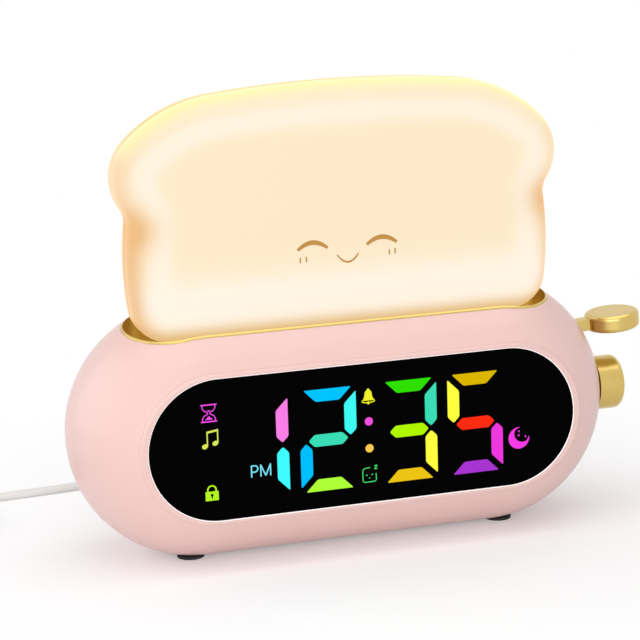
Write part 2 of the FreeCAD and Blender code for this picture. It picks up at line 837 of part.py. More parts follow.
def segments(right, names):
    """The outlines of a digit's segments, a at the top, then clockwise to f, and g across the middle."""
    t, e = S["segment_width"], S["segment_corner"]
    left = right - S["digit_width"]
    high = digit_low + S["digit_height"]
    half_t = HALF["segment_width"]
    tip_up = row_middle + S["segment_tip_gap"]
    tip_down = row_middle - S["segment_tip_gap"]
    cross_left, cross_right = left + S["cross_inset"], right - S["cross_inset"]

    def upright(outer, inner, far, tip, out):
        """A side segment from its mitred far end to its pointed tip, out is 1 when it points up."""
        shoulder = tip + half_t * out
        return [
            (outer, far - e * out),
            (outer, shoulder),
            ((outer + inner) / 2, tip),
            (inner, shoulder),
            (inner, far - (e + t) * out),
        ]

    outlines = {
        "a": [(left + e, high), (right - e, high), (right - e - t, high - t), (left + e + t, high - t)],
        "b": upright(right, right - t, high, tip_up, 1),
        "c": upright(right, right - t, digit_low, tip_down, -1),
        "d": [
            (left + e, digit_low),
            (right - e, digit_low),
            (right - e - t, digit_low + t),
            (left + e + t, digit_low + t),
        ],
        "e": upright(left, left + t, digit_low, tip_down, -1),
        "f": upright(left, left + t, high, tip_up, 1),
        "g": [
            (cross_left, row_middle),
            (cross_left + half_t, row_middle + half_t),
            (cross_right - half_t, row_middle + half_t),
            (cross_right, row_middle),
            (cross_right - half_t, row_middle - half_t),
            (cross_left + half_t, row_middle - half_t),
        ],
    }
    return [outlines[name] for name in names]


def middle_of(outline):
    """The mean of an outline's corners."""
    x, z = ZERO, ZERO
    for corner in outline:
        x, z = x + corner[0], z + corner[1]
    return x / len(outline), z / len(outline)


all_segments = []
for number, edge in enumerate(digit_edges):
    all_segments.extend(segments(edge, "bc" if number == 3 else "abcdefg"))

film_back = lens_back + S["film_thickness"]
reflector_back = film_back + S["reflector_depth"]
reflector = body("display_reflector")
pad(reflector, "XZ", film_back, S["reflector_depth"], stadium_of(lip_half_straight, inner_window_radius))
for number, edge in enumerate(digit_edges):

    def draw_digit(sketch):
        for outline in segments(edge, "bc" if number == 3 else "abcdefg"):
            polygon(sketch, outline)

    pocket(reflector, "XZ", film_back, S["reflector_depth"], draw_digit)
pocket(reflector, "XZ", film_back, S["reflector_depth"], circles_of(S["colon_radius"], dot_places))
pocket(reflector, "XZ", film_back, S["reflector_depth"], circles_of(S["icon_radius"], icon_places))

box(
    "display_board",
    -HALF["display_board_length"],
    reflector_back,
    -HALF["display_board_height"],
    S["display_board_length"],
    S["board_thickness"],
    S["display_board_height"],
)
lit_places = [middle_of(outline) for outline in all_segments] + dot_places + icon_places
led_half = HALF["led_size"]
display_leds = [
    box(
        "led",
        x - led_half,
        reflector_back - S["led_height"],
        z - led_half,
        S["led_size"],
        S["led_height"],
        S["led_size"],
        part=True,
    )
    for x, z in lit_places
]
group("display_leds", display_leds)

# Gold tray in the slot


def above_section(front, rear, radius, top):
    """The region above the arch, up to a level clear of it."""

    def draw(sketch):
        reach = size(radius).value
        middle_y, level = S["widest_depth"].value, arc_level.value
        first = math.acos((size(rear).value - middle_y) / reach)
        last = math.acos((size(front).value - middle_y) / reach)
        arc = sketch.addGeometry(arc_of((S["widest_depth"], arc_level), radius, first, last), False)
        fix(sketch, arc, 3, S["widest_depth"], arc_level)
        fix_radius(sketch, arc, radius)
        fix(sketch, arc, 1, rear)
        fix(sketch, arc, 2, front)
        start = FreeCAD.Vector(size(rear).value, level + reach * math.sin(first), 0)
        end = FreeCAD.Vector(size(front).value, level + reach * math.sin(last), 0)
        right = sketch.addGeometry(Part.LineSegment(start, point(rear, top)), False)
        over = sketch.addGeometry(Part.LineSegment(point(rear, top), point(front, top)), False)
        left = sketch.addGeometry(Part.LineSegment(point(front, top), end), False)
        for a, a_end, b, b_end in ((arc, 1, right, 1), (right, 2, over, 1), (over, 2, left, 1), (left, 2, arc, 2)):
            sketch.addConstraint(Sketcher.Constraint("Coincident", a, a_end, b, b_end))
        fix(sketch, right, 2, rear, top)
        fix(sketch, over, 2, front, top)

    return draw


def trim_above(owner, radius):
    """Cuts a piece off along a surface that follows the arched top."""
    region = above_section(ZERO, S["housing_depth"], radius, S["housing_height"])
    pocket(owner, "YZ", -end_x, end_x * 2, region)
    mirrored(owner, turned(owner, True, "YZ", "H_Axis", end_x, 180, region))


tray = body("slot_liner")
tray_radius = slot_radius - S["tray_clearance"]
tray_tall = HALF["housing_height"] + S["tray_rim_stand"] * 2 - tray_underside
rim_outline = stadium_of(slot_half_straight, slot_radius + S["tray_rim_width"], ZERO, slot_middle)
pad(tray, "XY", tray_underside, tray_tall, rim_outline)
trim_above(tray, S["section_radius"] + S["tray_rim_stand"])
pill(tray, True, ZERO, S["housing_depth"], S["section_radius"] + S["rim_gap"])
tray_outline = stadium_of(slot_half_straight, tray_radius, ZERO, slot_middle)
pad(tray, "XY", tray_underside, tray_tall, tray_outline)
trim_above(tray, S["section_radius"] + S["tray_rim_stand"])
tray_inner = stadium_of(slot_half_straight, tray_radius - S["tray_wall"], ZERO, slot_middle)
pocket(tray, "XY", S["tray_floor_level"], S["housing_height"], tray_inner)
lamp_screw_places = [(HALF["lamp_screw_spacing"] * i, lamp_middle) for i in (-1, 1)]
lamp_screw_way = circles_of(S["screw_radius"] + S["screw_clearance"], lamp_screw_places)
pocket(tray, "XY", tray_underside, S["tray_floor_thickness"], lamp_screw_way)

# Bread-slice lamp


def meeting(first, first_radius, second, second_radius, pick):
    """The point at given distances from two middles, the one for which pick is largest."""
    gap = second - first
    span = gap.Length
    along = (first_radius**2 - second_radius**2 + span**2) / (2 * span)
    across = math.sqrt(max(first_radius**2 - along**2, 0))
    unit = gap / span
    side = FreeCAD.Vector(-unit.y, unit.x, 0)
    choices = [first + unit * along + side * across * sign for sign in (-1, 1)]
    return max(choices, key=pick)


def bread_half(inset):
    """The right half of the slice: crown, shoulder, lobe, waist, side and lower corner in tangent arcs."""
    inset = size(inset)

    def draw(sketch):
        crown_middle = (ZERO, S["lamp_top"] - S["crown_radius"])
        lobe_middle = (S["lamp_half_width"] - S["lobe_radius"], S["lobe_level"])
        side_middle = (S["side_half_width"] - S["side_radius"], S["side_level"])
        crown, shoulder = S["crown_radius"].value, S["shoulder_radius"].value
        lobe, waist = S["lobe_radius"].value, S["waist_radius"].value
        side, corner = S["side_radius"].value, S["lamp_corner_radius"].value
        c1, c3, c5 = point(*crown_middle), point(*lobe_middle), point(*side_middle)
        c2 = meeting(c1, crown - shoulder, c3, shoulder - lobe, lambda p: -p.x)
        c4 = meeting(c3, lobe + waist, c5, side + waist, lambda p: p.x)
        bottom = (S["lamp_bottom"] + inset).value
        corner_y = SIZES["lamp_bottom"] + corner
        c6 = FreeCAD.Vector(c5.x + math.sqrt((side - corner) ** 2 - (corner_y - c5.y) ** 2), corner_y, 0)

        def angle(a, b):
            return math.atan2(b.y - a.y, b.x - a.x)

        t12, t23, t34 = angle(c1, c2), angle(c2, c3), angle(c3, c4)
        t45, t56 = angle(c5, c4), angle(c5, c6)
        shape = [
            (c1, S["crown_radius"] - inset, t12, math.pi / 2),
            (c2, S["shoulder_radius"] - inset, t23, t12),
            (c3, S["lobe_radius"] - inset, t34, t23),
            (c4, S["waist_radius"] + inset, t34 + math.pi, t45 + math.pi),
            (c5, S["side_radius"] - inset, t56, t45),
            (c6, S["lamp_corner_radius"] - inset, -math.pi / 2, t56),
        ]
        normal = FreeCAD.Vector(0, 0, 1)
        arcs = []
        for middle, radius, start, end in shape:
            whole = Part.Circle(middle, normal, radius.value)
            arcs.append(sketch.addGeometry(Part.ArcOfCircle(whole, start, end), False))
            fix_radius(sketch, arcs[-1], radius)
        a1, a2, a3, a4, a5, a6 = arcs
        foot = FreeCAD.Vector(c6.x, bottom, 0)
        base = sketch.addGeometry(Part.LineSegment(foot, FreeCAD.Vector(0, bottom, 0)), False)
        top = FreeCAD.Vector(0, (S["lamp_top"] - inset).value, 0)
        spine = sketch.addGeometry(Part.LineSegment(FreeCAD.Vector(0, bottom, 0), top), False)
        joins = [(a1, 1, a2, 2), (a2, 1, a3, 2), (a3, 1, a4, 1), (a4, 2, a5, 2), (a5, 1, a6, 2), (a6, 1, base, 1)]
        for join in joins:
            sketch.addConstraint(Sketcher.Constraint("Tangent", *join))
        sketch.addConstraint(Sketcher.Constraint("Coincident", base, 2, spine, 1))
        sketch.addConstraint(Sketcher.Constraint("Coincident", spine, 2, a1, 2))
        fix(sketch, a1, 3, *crown_middle)
        fix(sketch, a3, 3, *lobe_middle)
        fix(sketch, a5, 3, *side_middle)
        fix(sketch, base, 2, ZERO, S["lamp_bottom"] + inset)
        fix(sketch, spine, 2, ZERO)
        sketch.addConstraint(Sketcher.Constraint("Horizontal", base))

    return draw


def lamp_half(name, front, inset):
    """One half of a solid slice, split at its middle plane, its face inset and its edge well rounded."""
    half = body(name, part=True)
    depth = HALF["lamp_thickness"] - inset
    face = S["lamp_front"] + inset if front else S["lamp_front"] + S["lamp_thickness"] - inset
    start = face if front else lamp_middle
    mirrored(half, pad(half, "XZ", start, depth, bread_half(inset)))
    round_edges(half, S["lamp_edge_radius"] - inset, flat_at("Y", face))
    return half


def lamp_shell(label, front):
    """Half of the hollow slice: the outer form with a smaller one like it cut out."""
    return minus(label, lamp_half(label + "_form", front, ZERO), lamp_half(label + "_hollow", front, S["lamp_wall"]))


lamp_shell("lamp_shell_front", True)
lamp_shell("lamp_shell_rear", False)

lamp_base = body("lamp_base")
base_height = S["lamp_bottom"] - S["tray_floor_level"]
base_outline = stadium_of(S["lamp_base_half_straight"], S["lamp_base_radius"], ZERO, lamp_middle)
pad(lamp_base, "XY", S["tray_floor_level"], base_height, base_outline)
base_bore = circles_of(S["screw_radius"] + S["thread_clearance"], lamp_screw_places)
pocket(lamp_base, "XY", S["tray_floor_level"], base_height, base_bore)

lamp_floor = S["lamp_bottom"] + S["lamp_wall"] + S["lamp_board_stand"]
box(
    "lamp_board",
    -HALF["lamp_board_length"],
    lamp_middle - HALF["lamp_board_width"],
    lamp_floor,
    S["lamp_board_length"],
    S["lamp_board_width"],
    S["board_thickness"],
)
lamp_leds = []
for i in range(int(SIZES["lamp_led_count"])):
    led_x = S["lamp_led_pitch"] * (i - (int(SIZES["lamp_led_count"]) - 1) / 2) - HALF["lamp_led_size"]
    led_y = lamp_middle - HALF["lamp_led_size"]
    led_z = lamp_floor + S["board_thickness"]
    led_sides = (S["lamp_led_size"], S["lamp_led_size"], S["lamp_led_height"])
    lamp_leds.append(box("lamp_led", led_x, led_y, led_z, *led_sides, part=True))
group("lamp_leds", lamp_leds)


def screw(axis, x, y, z, length, towards=1):
    """A pan-head screw: its head's seat is at the given point and its shank runs back along the axis."""
    head = S["screw_head_height"]
    parts = []
    if axis == "y":
        parts.append(cylinder("head", "y", x, y, z, S["screw_head_radius"], head, part=True))
        parts.append(cylinder("shank", "y", x, y - length, z, S["screw_radius"], length, part=True))
    else:
        parts.append(cylinder("head", "z", x, y, z - head, S["screw_head_radius"], head, part=True))
        parts.append(cylinder("shank", "z", x, y, z, S["screw_radius"], length, part=True))
    return plus("screw", *parts, part=True)


lamp_screw_length = S["tray_floor_thickness"] + base_height - S["thread_clearance"]
lamp_screws = [screw("z", x, y, tray_underside, lamp_screw_length) for x, y in lamp_screw_places]
group("lamp_screws", lamp_screws)
housing_screw_length = head_seat - S["cover_seam_depth"] + S["screw_length"] - S["screw_head_height"]
housing_screws = [screw("y", x, head_seat, z, housing_screw_length) for x, z in post_places]
group("housing_screws", housing_screws)

# Lever, laid out from its pivot and tilted up at rest

lever = body("lever", S["lever_pivot_x"], S["widest_depth"], S["lever_pivot_level"])
lever.Placement.Rotation = FreeCAD.Rotation(FreeCAD.Vector(0, -1, 0), SIZES["lever_tilt"])
lever.setExpression("Placement.Rotation.Angle", "Sizes.lever_tilt * 1 deg")
paddle_outline = circle_of(S["paddle_radius"], S["paddle_middle"], ZERO)
pad(lever, "XY", -HALF["paddle_thickness"], S["paddle_thickness"], paddle_outline)
round_edges(lever, S["paddle_edge_radius"], lambda edge: isinstance(edge.Curve, Part.Circle))
pad(lever, "XZ", -HALF["lever_width"], S["lever_width"], circle_of(S["lever_hub_radius"]))
stem_outline = rectangle_of(-HALF["stem_width"], -HALF["stem_height"], S["stem_width"], S["stem_height"])
pad(lever, "YZ", -S["lever_arm_length"], S["lever_arm_length"] + S["paddle_middle"], stem_outline)
pocket(lever, "XZ", -HALF["lever_width"], S["lever_width"], circle_of(S["lever_pin_radius"] + S["pin_clearance"]))

cylinder(
    "lever_pivot_pin",
    "y",
    S["lever_pivot_x"],
    ear_front,
    S["lever_pivot_level"],
    S["lever_pin_radius"],
    pin_length,
)

lever_board_low = tray_underside - S["board_thickness"]
box(
    "lever_board",
    S["lever_board_left"],
    S["widest_depth"] - HALF["lever_board_width"],
    lever_board_low,
    S["lever_board_length"],
    S["lever_board_width"],
    S["board_thickness"],
)
contact_level = S["lever_pivot_level"] - (S["lever_pivot_x"] - S["lever_contact_x"]) * tilt_rise
plunger_low = contact_level + HALF["stem_height"] + S["plunger_gap"]
switch_low = lever_board_low - S["switch_height"]
switch_block = box(
    "lever_switch_block",
    S["lever_contact_x"] - HALF["switch_side"],
    S["widest_depth"] - HALF["switch_side"],
    switch_low,
    S["switch_side"],
    S["switch_side"],
    S["switch_height"],
    part=True,
)
plunger_bore = S["plunger_radius"] + S["plunger_clearance"]
contact_place = (S["lever_contact_x"], S["widest_depth"])
bore = cylinder("bore", "z", *contact_place, switch_low, plunger_bore, S["plunger_bore_depth"], part=True)
minus("lever_switch", switch_block, bore)
cylinder("lever_switch_plunger", "z", *contact_place, plunger_low, S["plunger_radius"], S["plunger_length"])

# Turning switch and knob

case_start = S["boss_face_x"] - S["case_length"]
axis_place = (S["widest_depth"], ZERO)
case_half = HALF["case_side"]
case_block = box(
    "case_block",
    case_start,
    S["widest_depth"] - case_half,
    -case_half,
    S["case_length"],
    S["case_side"],
    S["case_side"],
    part=True,
)
bushing = cylinder("bushing", "x", S["boss_face_x"], *axis_place, S["bushing_radius"], S["bushing_length"], part=True)
case_solid = plus("case_solid", case_block, bushing, part=True)
shaft_bore = S["shaft_radius"] + S["shaft_clearance"]
cavity_start = case_start + S["case_wall"]
cavity_length = S["case_length"] - S["case_wall"] * 2
cavity = cylinder("cavity", "x", cavity_start, *axis_place, S["case_bore"], cavity_length, part=True)
way_length = S["case_length"] + S["bushing_length"]
way = cylinder("way", "x", cavity_start, *axis_place, shaft_bore, way_length, part=True)
minus("encoder_case", case_solid, cavity, way)


def flatted_bar(name, x, radius, length, grow=ZERO):
    """A round bar along X with one flat, grown all round where it makes a hole."""
    bar = cylinder(name, "x", x, *axis_place, radius + grow, length, part=True)
    flat_level = S["shaft_radius"] - S["shaft_flat"] + grow
    side = S["case_side"]
    flat = box(name + "_flat", x, S["widest_depth"] - side, flat_level, length, side * 2, side, part=True)
    return minus(name + "_bar", bar, flat, part=True)


rotor_start = cavity_start + cavity_length - S["rotor_gap"] - S["rotor_length"]
rotor_disc = cylinder("rotor_disc", "x", rotor_start, *axis_place, S["rotor_radius"], S["rotor_length"], part=True)
rotor_hole = flatted_bar("rotor_hole", rotor_start, S["shaft_radius"], S["rotor_length"], S["shaft_clearance"])
minus("encoder_rotor", rotor_disc, rotor_hole)

socket_start = S["knob_start"] + S["knob_hollow_depth"]
shaft_start = case_start + S["shaft_tail"]
shaft_end = socket_start + S["knob_grip_depth"]
shaft = flatted_bar("shaft", shaft_start, S["shaft_radius"], shaft_end - shaft_start - S["shaft_clearance"])
keep(shaft, "knob_shaft")

nut = doc.addObject("Part::Prism", "Nut")
nut.Polygon = 6
bind(nut, "Circumradius", HALF["nut_across_flats"] / size(math.cos(math.pi / 6)))
bind(nut, "Height", S["nut_thickness"])
nut.Placement = FreeCAD.Placement(FreeCAD.Vector(), AXES["x"])
place(nut, S["spot_face_x"], *axis_place)
nut_bore_radius = S["bushing_radius"] + S["thread_clearance"]
nut_bore = cylinder("nut_bore", "x", S["spot_face_x"], *axis_place, nut_bore_radius, S["nut_thickness"], part=True)
minus("encoder_nut", nut, nut_bore)

board_half = HALF["encoder_board_side"]
box(
    "encoder_board",
    case_start - S["board_thickness"],
    S["widest_depth"] - board_half,
    -board_half,
    S["board_thickness"],
    S["encoder_board_side"],
    S["encoder_board_side"],
)

knob = body("knob", ZERO, S["widest_depth"], ZERO)
pad(knob, "YZ", S["knob_start"], S["knob_length"], circle_of(S["knob_radius"]))
knob_end = S["knob_start"] + S["knob_length"]
round_edges(knob, S["knob_edge_radius"], flat_at("X", knob_end))
pocket(knob, "YZ", S["knob_start"], S["knob_hollow_depth"], circle_of(S["knob_hollow_radius"]))


def flatted_hole(sketch):
    """A round outline with one flat at its top."""
    radius = S["shaft_radius"] + S["shaft_clearance"]
    level = S["shaft_radius"] - S["shaft_flat"] + S["shaft_clearance"]
    half = (radius * radius - level * level).root()
    start = math.atan2(level.value, -half.value)
    end = math.atan2(level.value, half.value) + 2 * math.pi
    arc = sketch.addGeometry(arc_of((ZERO, ZERO), radius, start, end), False)
    chord = sketch.addGeometry(Part.LineSegment(point(half, level), point(-half, level)), False)
    fix(sketch, arc, 3, ZERO, ZERO)
    fix_radius(sketch, arc, radius)
    sketch.addConstraint(Sketcher.Constraint("Coincident", arc, 2, chord, 1))
    sketch.addConstraint(Sketcher.Constraint("Coincident", arc, 1, chord, 2))
    fix(sketch, chord, 1, None, level)
    sketch.addConstraint(Sketcher.Constraint("Horizontal", chord))


pocket(knob, "YZ", socket_start, S["knob_grip_depth"], flatted_hole)

# Rear buttons, their switches and the main board

box(
    "main_board",
    S["main_board_left"],
    S["main_board_depth"],
    S["main_board_bottom"],
    S["main_board_length"],
    S["board_thickness"],
    S["main_board_height"],
)
switch_back = board_back + S["switch_height"]
flange_start = rear_inside - S["flange_gap"] - S["button_flange_thickness"]
cap_face = S["housing_depth"] - S["button_recess"]
switches = []
for i, (x, z) in enumerate(button_places, start=1):
    cap = body("button_%d" % i, x, ZERO, z)
    flange_radius = S["button_radius"] + S["button_flange"]
    pad(cap, "XZ", flange_start, S["button_flange_thickness"], circle_of(flange_radius))
    pad(cap, "XZ", flange_start, cap_face - flange_start, circle_of(S["button_radius"]))
    plunger_start = switch_back - S["button_plunger_overlap"]
    cylinder("button_plunger_%d" % i, "y", x, plunger_start, z, S["plunger_radius"], flange_start - plunger_start)
    half = HALF["switch_side"]
    side = S["switch_side"]
    block = box("block", x - half, board_back, z - half, side, S["switch_height"], side, part=True)
    bore_start = switch_back - S["plunger_bore_depth"]
    bore = cylinder("bore", "y", x, bore_start, z, plunger_bore, S["plunger_bore_depth"], part=True)
    switches.append(minus("switch", block, bore, part=True))
group("button_switches", switches)

# Speaker behind the grille

speaker = body("speaker_frame", S["speaker_x"], ZERO, ZERO)
speaker_front = rear_inside - S["speaker_depth"]
pad(speaker, "XZ", speaker_front, S["speaker_depth"], circle_of(S["speaker_radius"]))
basket_floor = speaker_front + S["speaker_wall"]
basket_depth = S["speaker_depth"] - S["speaker_wall"]
pocket(speaker, "XZ", basket_floor, basket_depth, circle_of(S["speaker_radius"] - S["speaker_wall"]))
magnet_start = speaker_front - S["magnet_length"]
cylinder("speaker_magnet", "y", S["speaker_x"], magnet_start, ZERO, S["magnet_radius"], S["magnet_length"])

cone = body("speaker_cone", S["speaker_x"], ZERO, ZERO)


def cone_profile(sketch):
    """A thin slanting band from the middle of the basket to its rim."""
    inner, outer = S["cone_inner_radius"], S["speaker_radius"] - S["speaker_wall"] - S["cone_gap"]
    low = basket_floor + S["cone_gap"]
    high = rear_inside - S["cone_gap"] * 2
    t = S["cone_thickness"]
    polygon(sketch, [(inner, low), (outer, high - t), (outer, high), (inner, low + t)])


turned(cone, False, "XY", "V_Axis", ZERO, 360, cone_profile)

# Power socket, backup cell and its hatch

socket_face = S["housing_depth"] - S["socket_recess"]
socket_middle = HALF["socket_side"]
socket_block = box(
    "socket_block",
    S["socket_x"] - socket_middle,
    board_back,
    S["socket_level"] - socket_middle,
    S["socket_side"],
    socket_face - board_back,
    S["socket_side"],
    part=True,
)
socket_place = (S["socket_x"], socket_face - S["socket_depth"], S["socket_level"])
socket_hole = cylinder("socket_hole", "y", *socket_place, S["socket_bore"], S["socket_depth"], part=True)
socket_shell = minus("socket_shell", socket_block, socket_hole, part=True)
pin_reach = S["socket_depth"] - S["socket_recess"] * 5
socket_pin = cylinder("socket_pin", "y", *socket_place, S["socket_pin_radius"], pin_reach, part=True)
plus("power_socket", socket_shell, socket_pin)

holder = body("cell_holder", S["cell_x"], ZERO, S["cell_level"])
holder_radius = S["cell_radius"] + S["cell_clearance"] + S["holder_wall"]
cell_seat = board_back + S["holder_base"]
pad(holder, "XZ", board_back, S["holder_base"] + S["holder_rim"], circle_of(holder_radius))
pocket(holder, "XZ", cell_seat, S["holder_rim"], circle_of(S["cell_radius"] + S["cell_clearance"]))
cylinder("coin_cell", "y", S["cell_x"], cell_seat, S["cell_level"], S["cell_radius"], S["cell_thickness"])

hatch = body("battery_hatch", S["cell_x"], ZERO, S["cell_level"])
pad(hatch, "XZ", hatch_seat, S["hatch_thickness"], circle_of(S["hatch_radius"]))
coin_slot = rectangle_of(
    -HALF["coin_slot_length"], -HALF["coin_slot_width"], S["coin_slot_length"], S["coin_slot_width"]
)
pocket(hatch, "XZ", S["housing_depth"] - S["coin_slot_depth"], S["coin_slot_depth"], coin_slot)

# Feet

feet = []
for x in (-S["foot_x"], S["foot_x"]):
    for y in (S["foot_depth_front"], S["foot_depth_rear"]):
        disc = cylinder("foot", "z", x, y, floor_level, S["foot_radius"], S["foot_stand"], part=True)
        feet.append(disc)
group("feet", feet)

# Cord plug in the socket, with its tapered strain relief

plug = body("cord_plug", S["socket_x"], ZERO, S["socket_level"])
plug_face = socket_face + S["plug_gap"]
barrel_start = plug_face - S["plug_barrel_length"]
plug_back = plug_face + S["plug_body_length"]
relief_end = plug_back + S["relief_length"]


def plug_profile(sketch):
    """Half the plug's lengthwise outline: hollow barrel, grip body and tapering relief."""
    body_radius = S["plug_body_radius"]
    neck = (body_radius + S["relief_end_radius"]) / 2
    polygon(
        sketch,
        [
            (S["plug_barrel_bore"], barrel_start),
            (S["plug_barrel_radius"], barrel_start),
            (S["plug_barrel_radius"], plug_face),
            (body_radius, plug_face),
            (body_radius, plug_back - S["plug_bevel"]),
            (body_radius - S["plug_bevel"], plug_back),
            (neck, plug_back),
            (S["relief_end_radius"], relief_end),
            (ZERO, relief_end),
            (ZERO, plug_face),
            (S["plug_barrel_bore"], plug_face),
        ],
    )


turned(plug, False, "XY", "V_Axis", ZERO, 360, plug_profile)
# Supply cord: a tube behind the clock, a coil on the table and the plug at its far end


def vector(x, y, z):
    """A point of the part's own frame from one given from the clock's datum."""
    return FreeCAD.Vector((datum_x + x).value, (datum_y + y).value, (datum_z + z).value)


def swept(label, edges):
    """A round tube along a path, and its length. The tube's volume shows that it is whole."""
    path = doc.addObject("Part::Feature", "Path_" + label)
    path.Shape = Part.Wire(edges)
    start = edges[0].Vertexes[0].Point
    along = edges[0].tangentAt(edges[0].FirstParameter)
    section = doc.addObject("Part::Circle", "Section_" + label)
    bind(section, "Radius", S["cord_radius"])
    section.Placement = FreeCAD.Placement(start, FreeCAD.Rotation(FreeCAD.Vector(0, 0, 1), along))
    tube = doc.addObject("Part::Sweep", "Tube_" + label)
    tube.Sections = [section]
    tube.Spine = (path, ["Edge%d" % (i + 1) for i in range(len(path.Shape.Edges))])
    tube.Solid = True
    tube.Frenet = False
    doc.recompute()
    expected = math.pi * SIZES["cord_radius"] ** 2 * path.Shape.Length
    if abs(tube.Shape.Volume / expected - 1) > 0.002:
        raise RuntimeError("%s is not a whole tube" % label)
    keep(tube, label)
    return path.Shape.Length


plug_exit = vector(S["socket_x"], relief_end, S["socket_level"])
lying = SIZES["cord_radius"]
route = [
    plug_exit,
    plug_exit + FreeCAD.Vector(0, 23.4, 0),
    FreeCAD.Vector(-45, 95.5, lying),
    FreeCAD.Vector(-69, 88.5, lying),
    FreeCAD.Vector(-105.5, 84.3, lying),
    FreeCAD.Vector(-141.5, 84.3, lying),
]


def rounded_route(points):
    """Straight runs joined by tangent arcs that use up to 0.45 of the shorter run at each corner."""
    edges, start = [], points[0]
    for before, corner, after in zip(points, points[1:], points[2:]):
        towards, away = (before - corner), (after - corner)
        shorter = min(towards.Length, away.Length)
        towards.normalize()
        away.normalize()
        half_turn = (math.pi - towards.getAngle(away)) / 2
        radius = 0.45 * shorter / math.tan(half_turn)
        reach = 0.45 * shorter
        first, last = corner + towards * reach, corner + away * reach
        inward = towards + away
        inward.normalize()
        middle = corner + inward * (radius / math.cos(half_turn) - radius)
        edges.append(Part.LineSegment(start, first).toShape())
        edges.append(Part.Arc(first, middle, last).toShape())
        start = last
        print("cord turn of radius %.1f mm at %.0f degrees" % (radius, math.degrees(half_turn) * 2))
    edges.append(Part.LineSegment(start, points[-1]).toShape())
    return edges


def spiral(start, lead):
    """Half turns that tighten on the table, climb by one layer and widen again, all tangent."""
    step = SIZES["coil_pitch"] / 2
    halves = int(SIZES["coil_turns"]) * 2
    radii = [SIZES["coil_outer_radius"] - step * k for k in range(halves)]
    x, y, z = start.x - 2 * SIZES["cord_radius"], start.y, start.z
    edges = [Part.LineSegment(start, FreeCAD.Vector(x, y, z)).toShape()]
    outward = [radius for radius in reversed(radii[1:])]
    sign = -1
    for radius in radii:
        edges.append(half_turn_at(x, y, z, radius, sign, 0))
        y, sign = y + 2 * radius * sign, -sign
    climb = radii[-1] - step
    edges.append(half_turn_at(x, y, z, climb, sign, SIZES["coil_layer_step"]))
    y, z, sign = y + 2 * climb * sign, z + SIZES["coil_layer_step"], -sign
    for radius in outward:
        edges.append(half_turn_at(x, y, z, radius, sign, 0))
        y, sign = y + 2 * radius * sign, -sign
    radius = radii[0]
    corner = math.sqrt(0.5) * radius
    middle = FreeCAD.Vector(x - corner, y - radius + corner, z)
    end = FreeCAD.Vector(x - radius, y - radius, z)
    edges.append(Part.Arc(FreeCAD.Vector(x, y, z), middle, end).toShape())
    last = end - FreeCAD.Vector(0, lead, 0)
    edges.append(Part.LineSegment(end, last).toShape())
    return edges, last


def half_turn_at(x, y, z, radius, sign, rise):
    """A half circle that starts along X, bulges to its own side and may lie in a tilted plane."""
    start = FreeCAD.Vector(x, y, z)
    end = FreeCAD.Vector(x, y + 2 * radius * sign, z + rise)
    reach = (end - start).Length / 2
    middle = (start + end) / 2 + FreeCAD.Vector(reach * sign, 0, 0)
    return Part.Arc(start, middle, end).toShape()


def least_gap(edges):
    """The least gap between two places of a tube that are more than a turn's eighth apart along it."""
    points, along = [], 0.0
    for edge in edges:
        count = max(2, int(edge.Length))
        for place_on_edge in edge.discretize(count)[:-1]:
            points.append((along, place_on_edge))
            along += edge.Length / (count - 1)
    apart = math.pi * SIZES["coil_outer_radius"] / 4
    least = min(
        (b - a).Length
        for i, (s, a) in enumerate(points)
        for t, b in points[i + 1 :]
        if t - s > apart
    )
    return least - 2 * SIZES["cord_radius"]


tube_length = swept("cord_tube", rounded_route(route))
coil_edges, coil_end = spiral(route[-1], SIZES["coil_lead"])
coil_length = swept("cord_coil", coil_edges)
print("cord length %.0f mm" % (tube_length + coil_length))
print("least gap in the coil %.2f mm" % least_gap(coil_edges))


def far_block(label, width, thickness, start, length, part=False):
    """A block on the far plug's axis, which runs towards the front."""
    made = doc.addObject("Part::Box", "Box_" + label)
    bind(made, "Length", width)
    bind(made, "Width", length)
    bind(made, "Height", thickness)
    corner = coil_end - FreeCAD.Vector(width.value / 2, (start + length).value, thickness.value / 2)
    made.Placement = FreeCAD.Placement(corner, FreeCAD.Rotation())
    return made if part else keep(made, label)


far_body = far_block("far_body", S["far_plug_width"], S["far_plug_thickness"], ZERO, S["far_plug_length"], part=True)
doc.recompute()
far_plug = doc.addObject("Part::Fillet", "Fillet_far_plug")
far_plug.Base = far_body
far_radius = SIZES["far_plug_edge_radius"]
far_plug.Edges = [(i + 1, far_radius, far_radius) for i in range(len(far_body.Shape.Edges))]
keep(far_plug, "far_plug")
shell_wall = S["far_shell_wall"] * 2
shell_block = far_block(
    "shell_block",
    S["far_shell_width"],
    S["far_shell_thickness"],
    S["far_plug_length"],
    S["far_shell_length"],
    part=True,
)
shell_hollow = far_block(
    "shell_hollow",
    S["far_shell_width"] - shell_wall,
    S["far_shell_thickness"] - shell_wall,
    S["far_plug_length"],
    S["far_shell_length"],
    part=True,
)
minus("far_plug_shell", shell_block, shell_hollow)
far_block(
    "far_plug_tongue",
    S["far_tongue_width"],
    S["far_tongue_thickness"],
    S["far_plug_length"],
    S["far_tongue_length"],
)

# Every piece has to be whole before any file is written
doc.recompute()
for item in doc.Objects:
    if "Invalid" in item.State or "Error" in item.State:
        raise RuntimeError("%s (%s) did not compute" % (item.Name, item.Label))
for item in OUTPUTS:
    if item.Shape.isNull() or not item.Shape.isValid() or not item.Shape.Solids:
        raise RuntimeError("%s is not a sound solid" % item.Label)

os.makedirs("parts", exist_ok=True)
for item in OUTPUTS:
    item.Shape.exportStep(os.path.join("parts", item.Label + ".step"))
print("%d pieces, %d faces" % (len(OUTPUTS), sum(len(item.Shape.Faces) for item in OUTPUTS)))
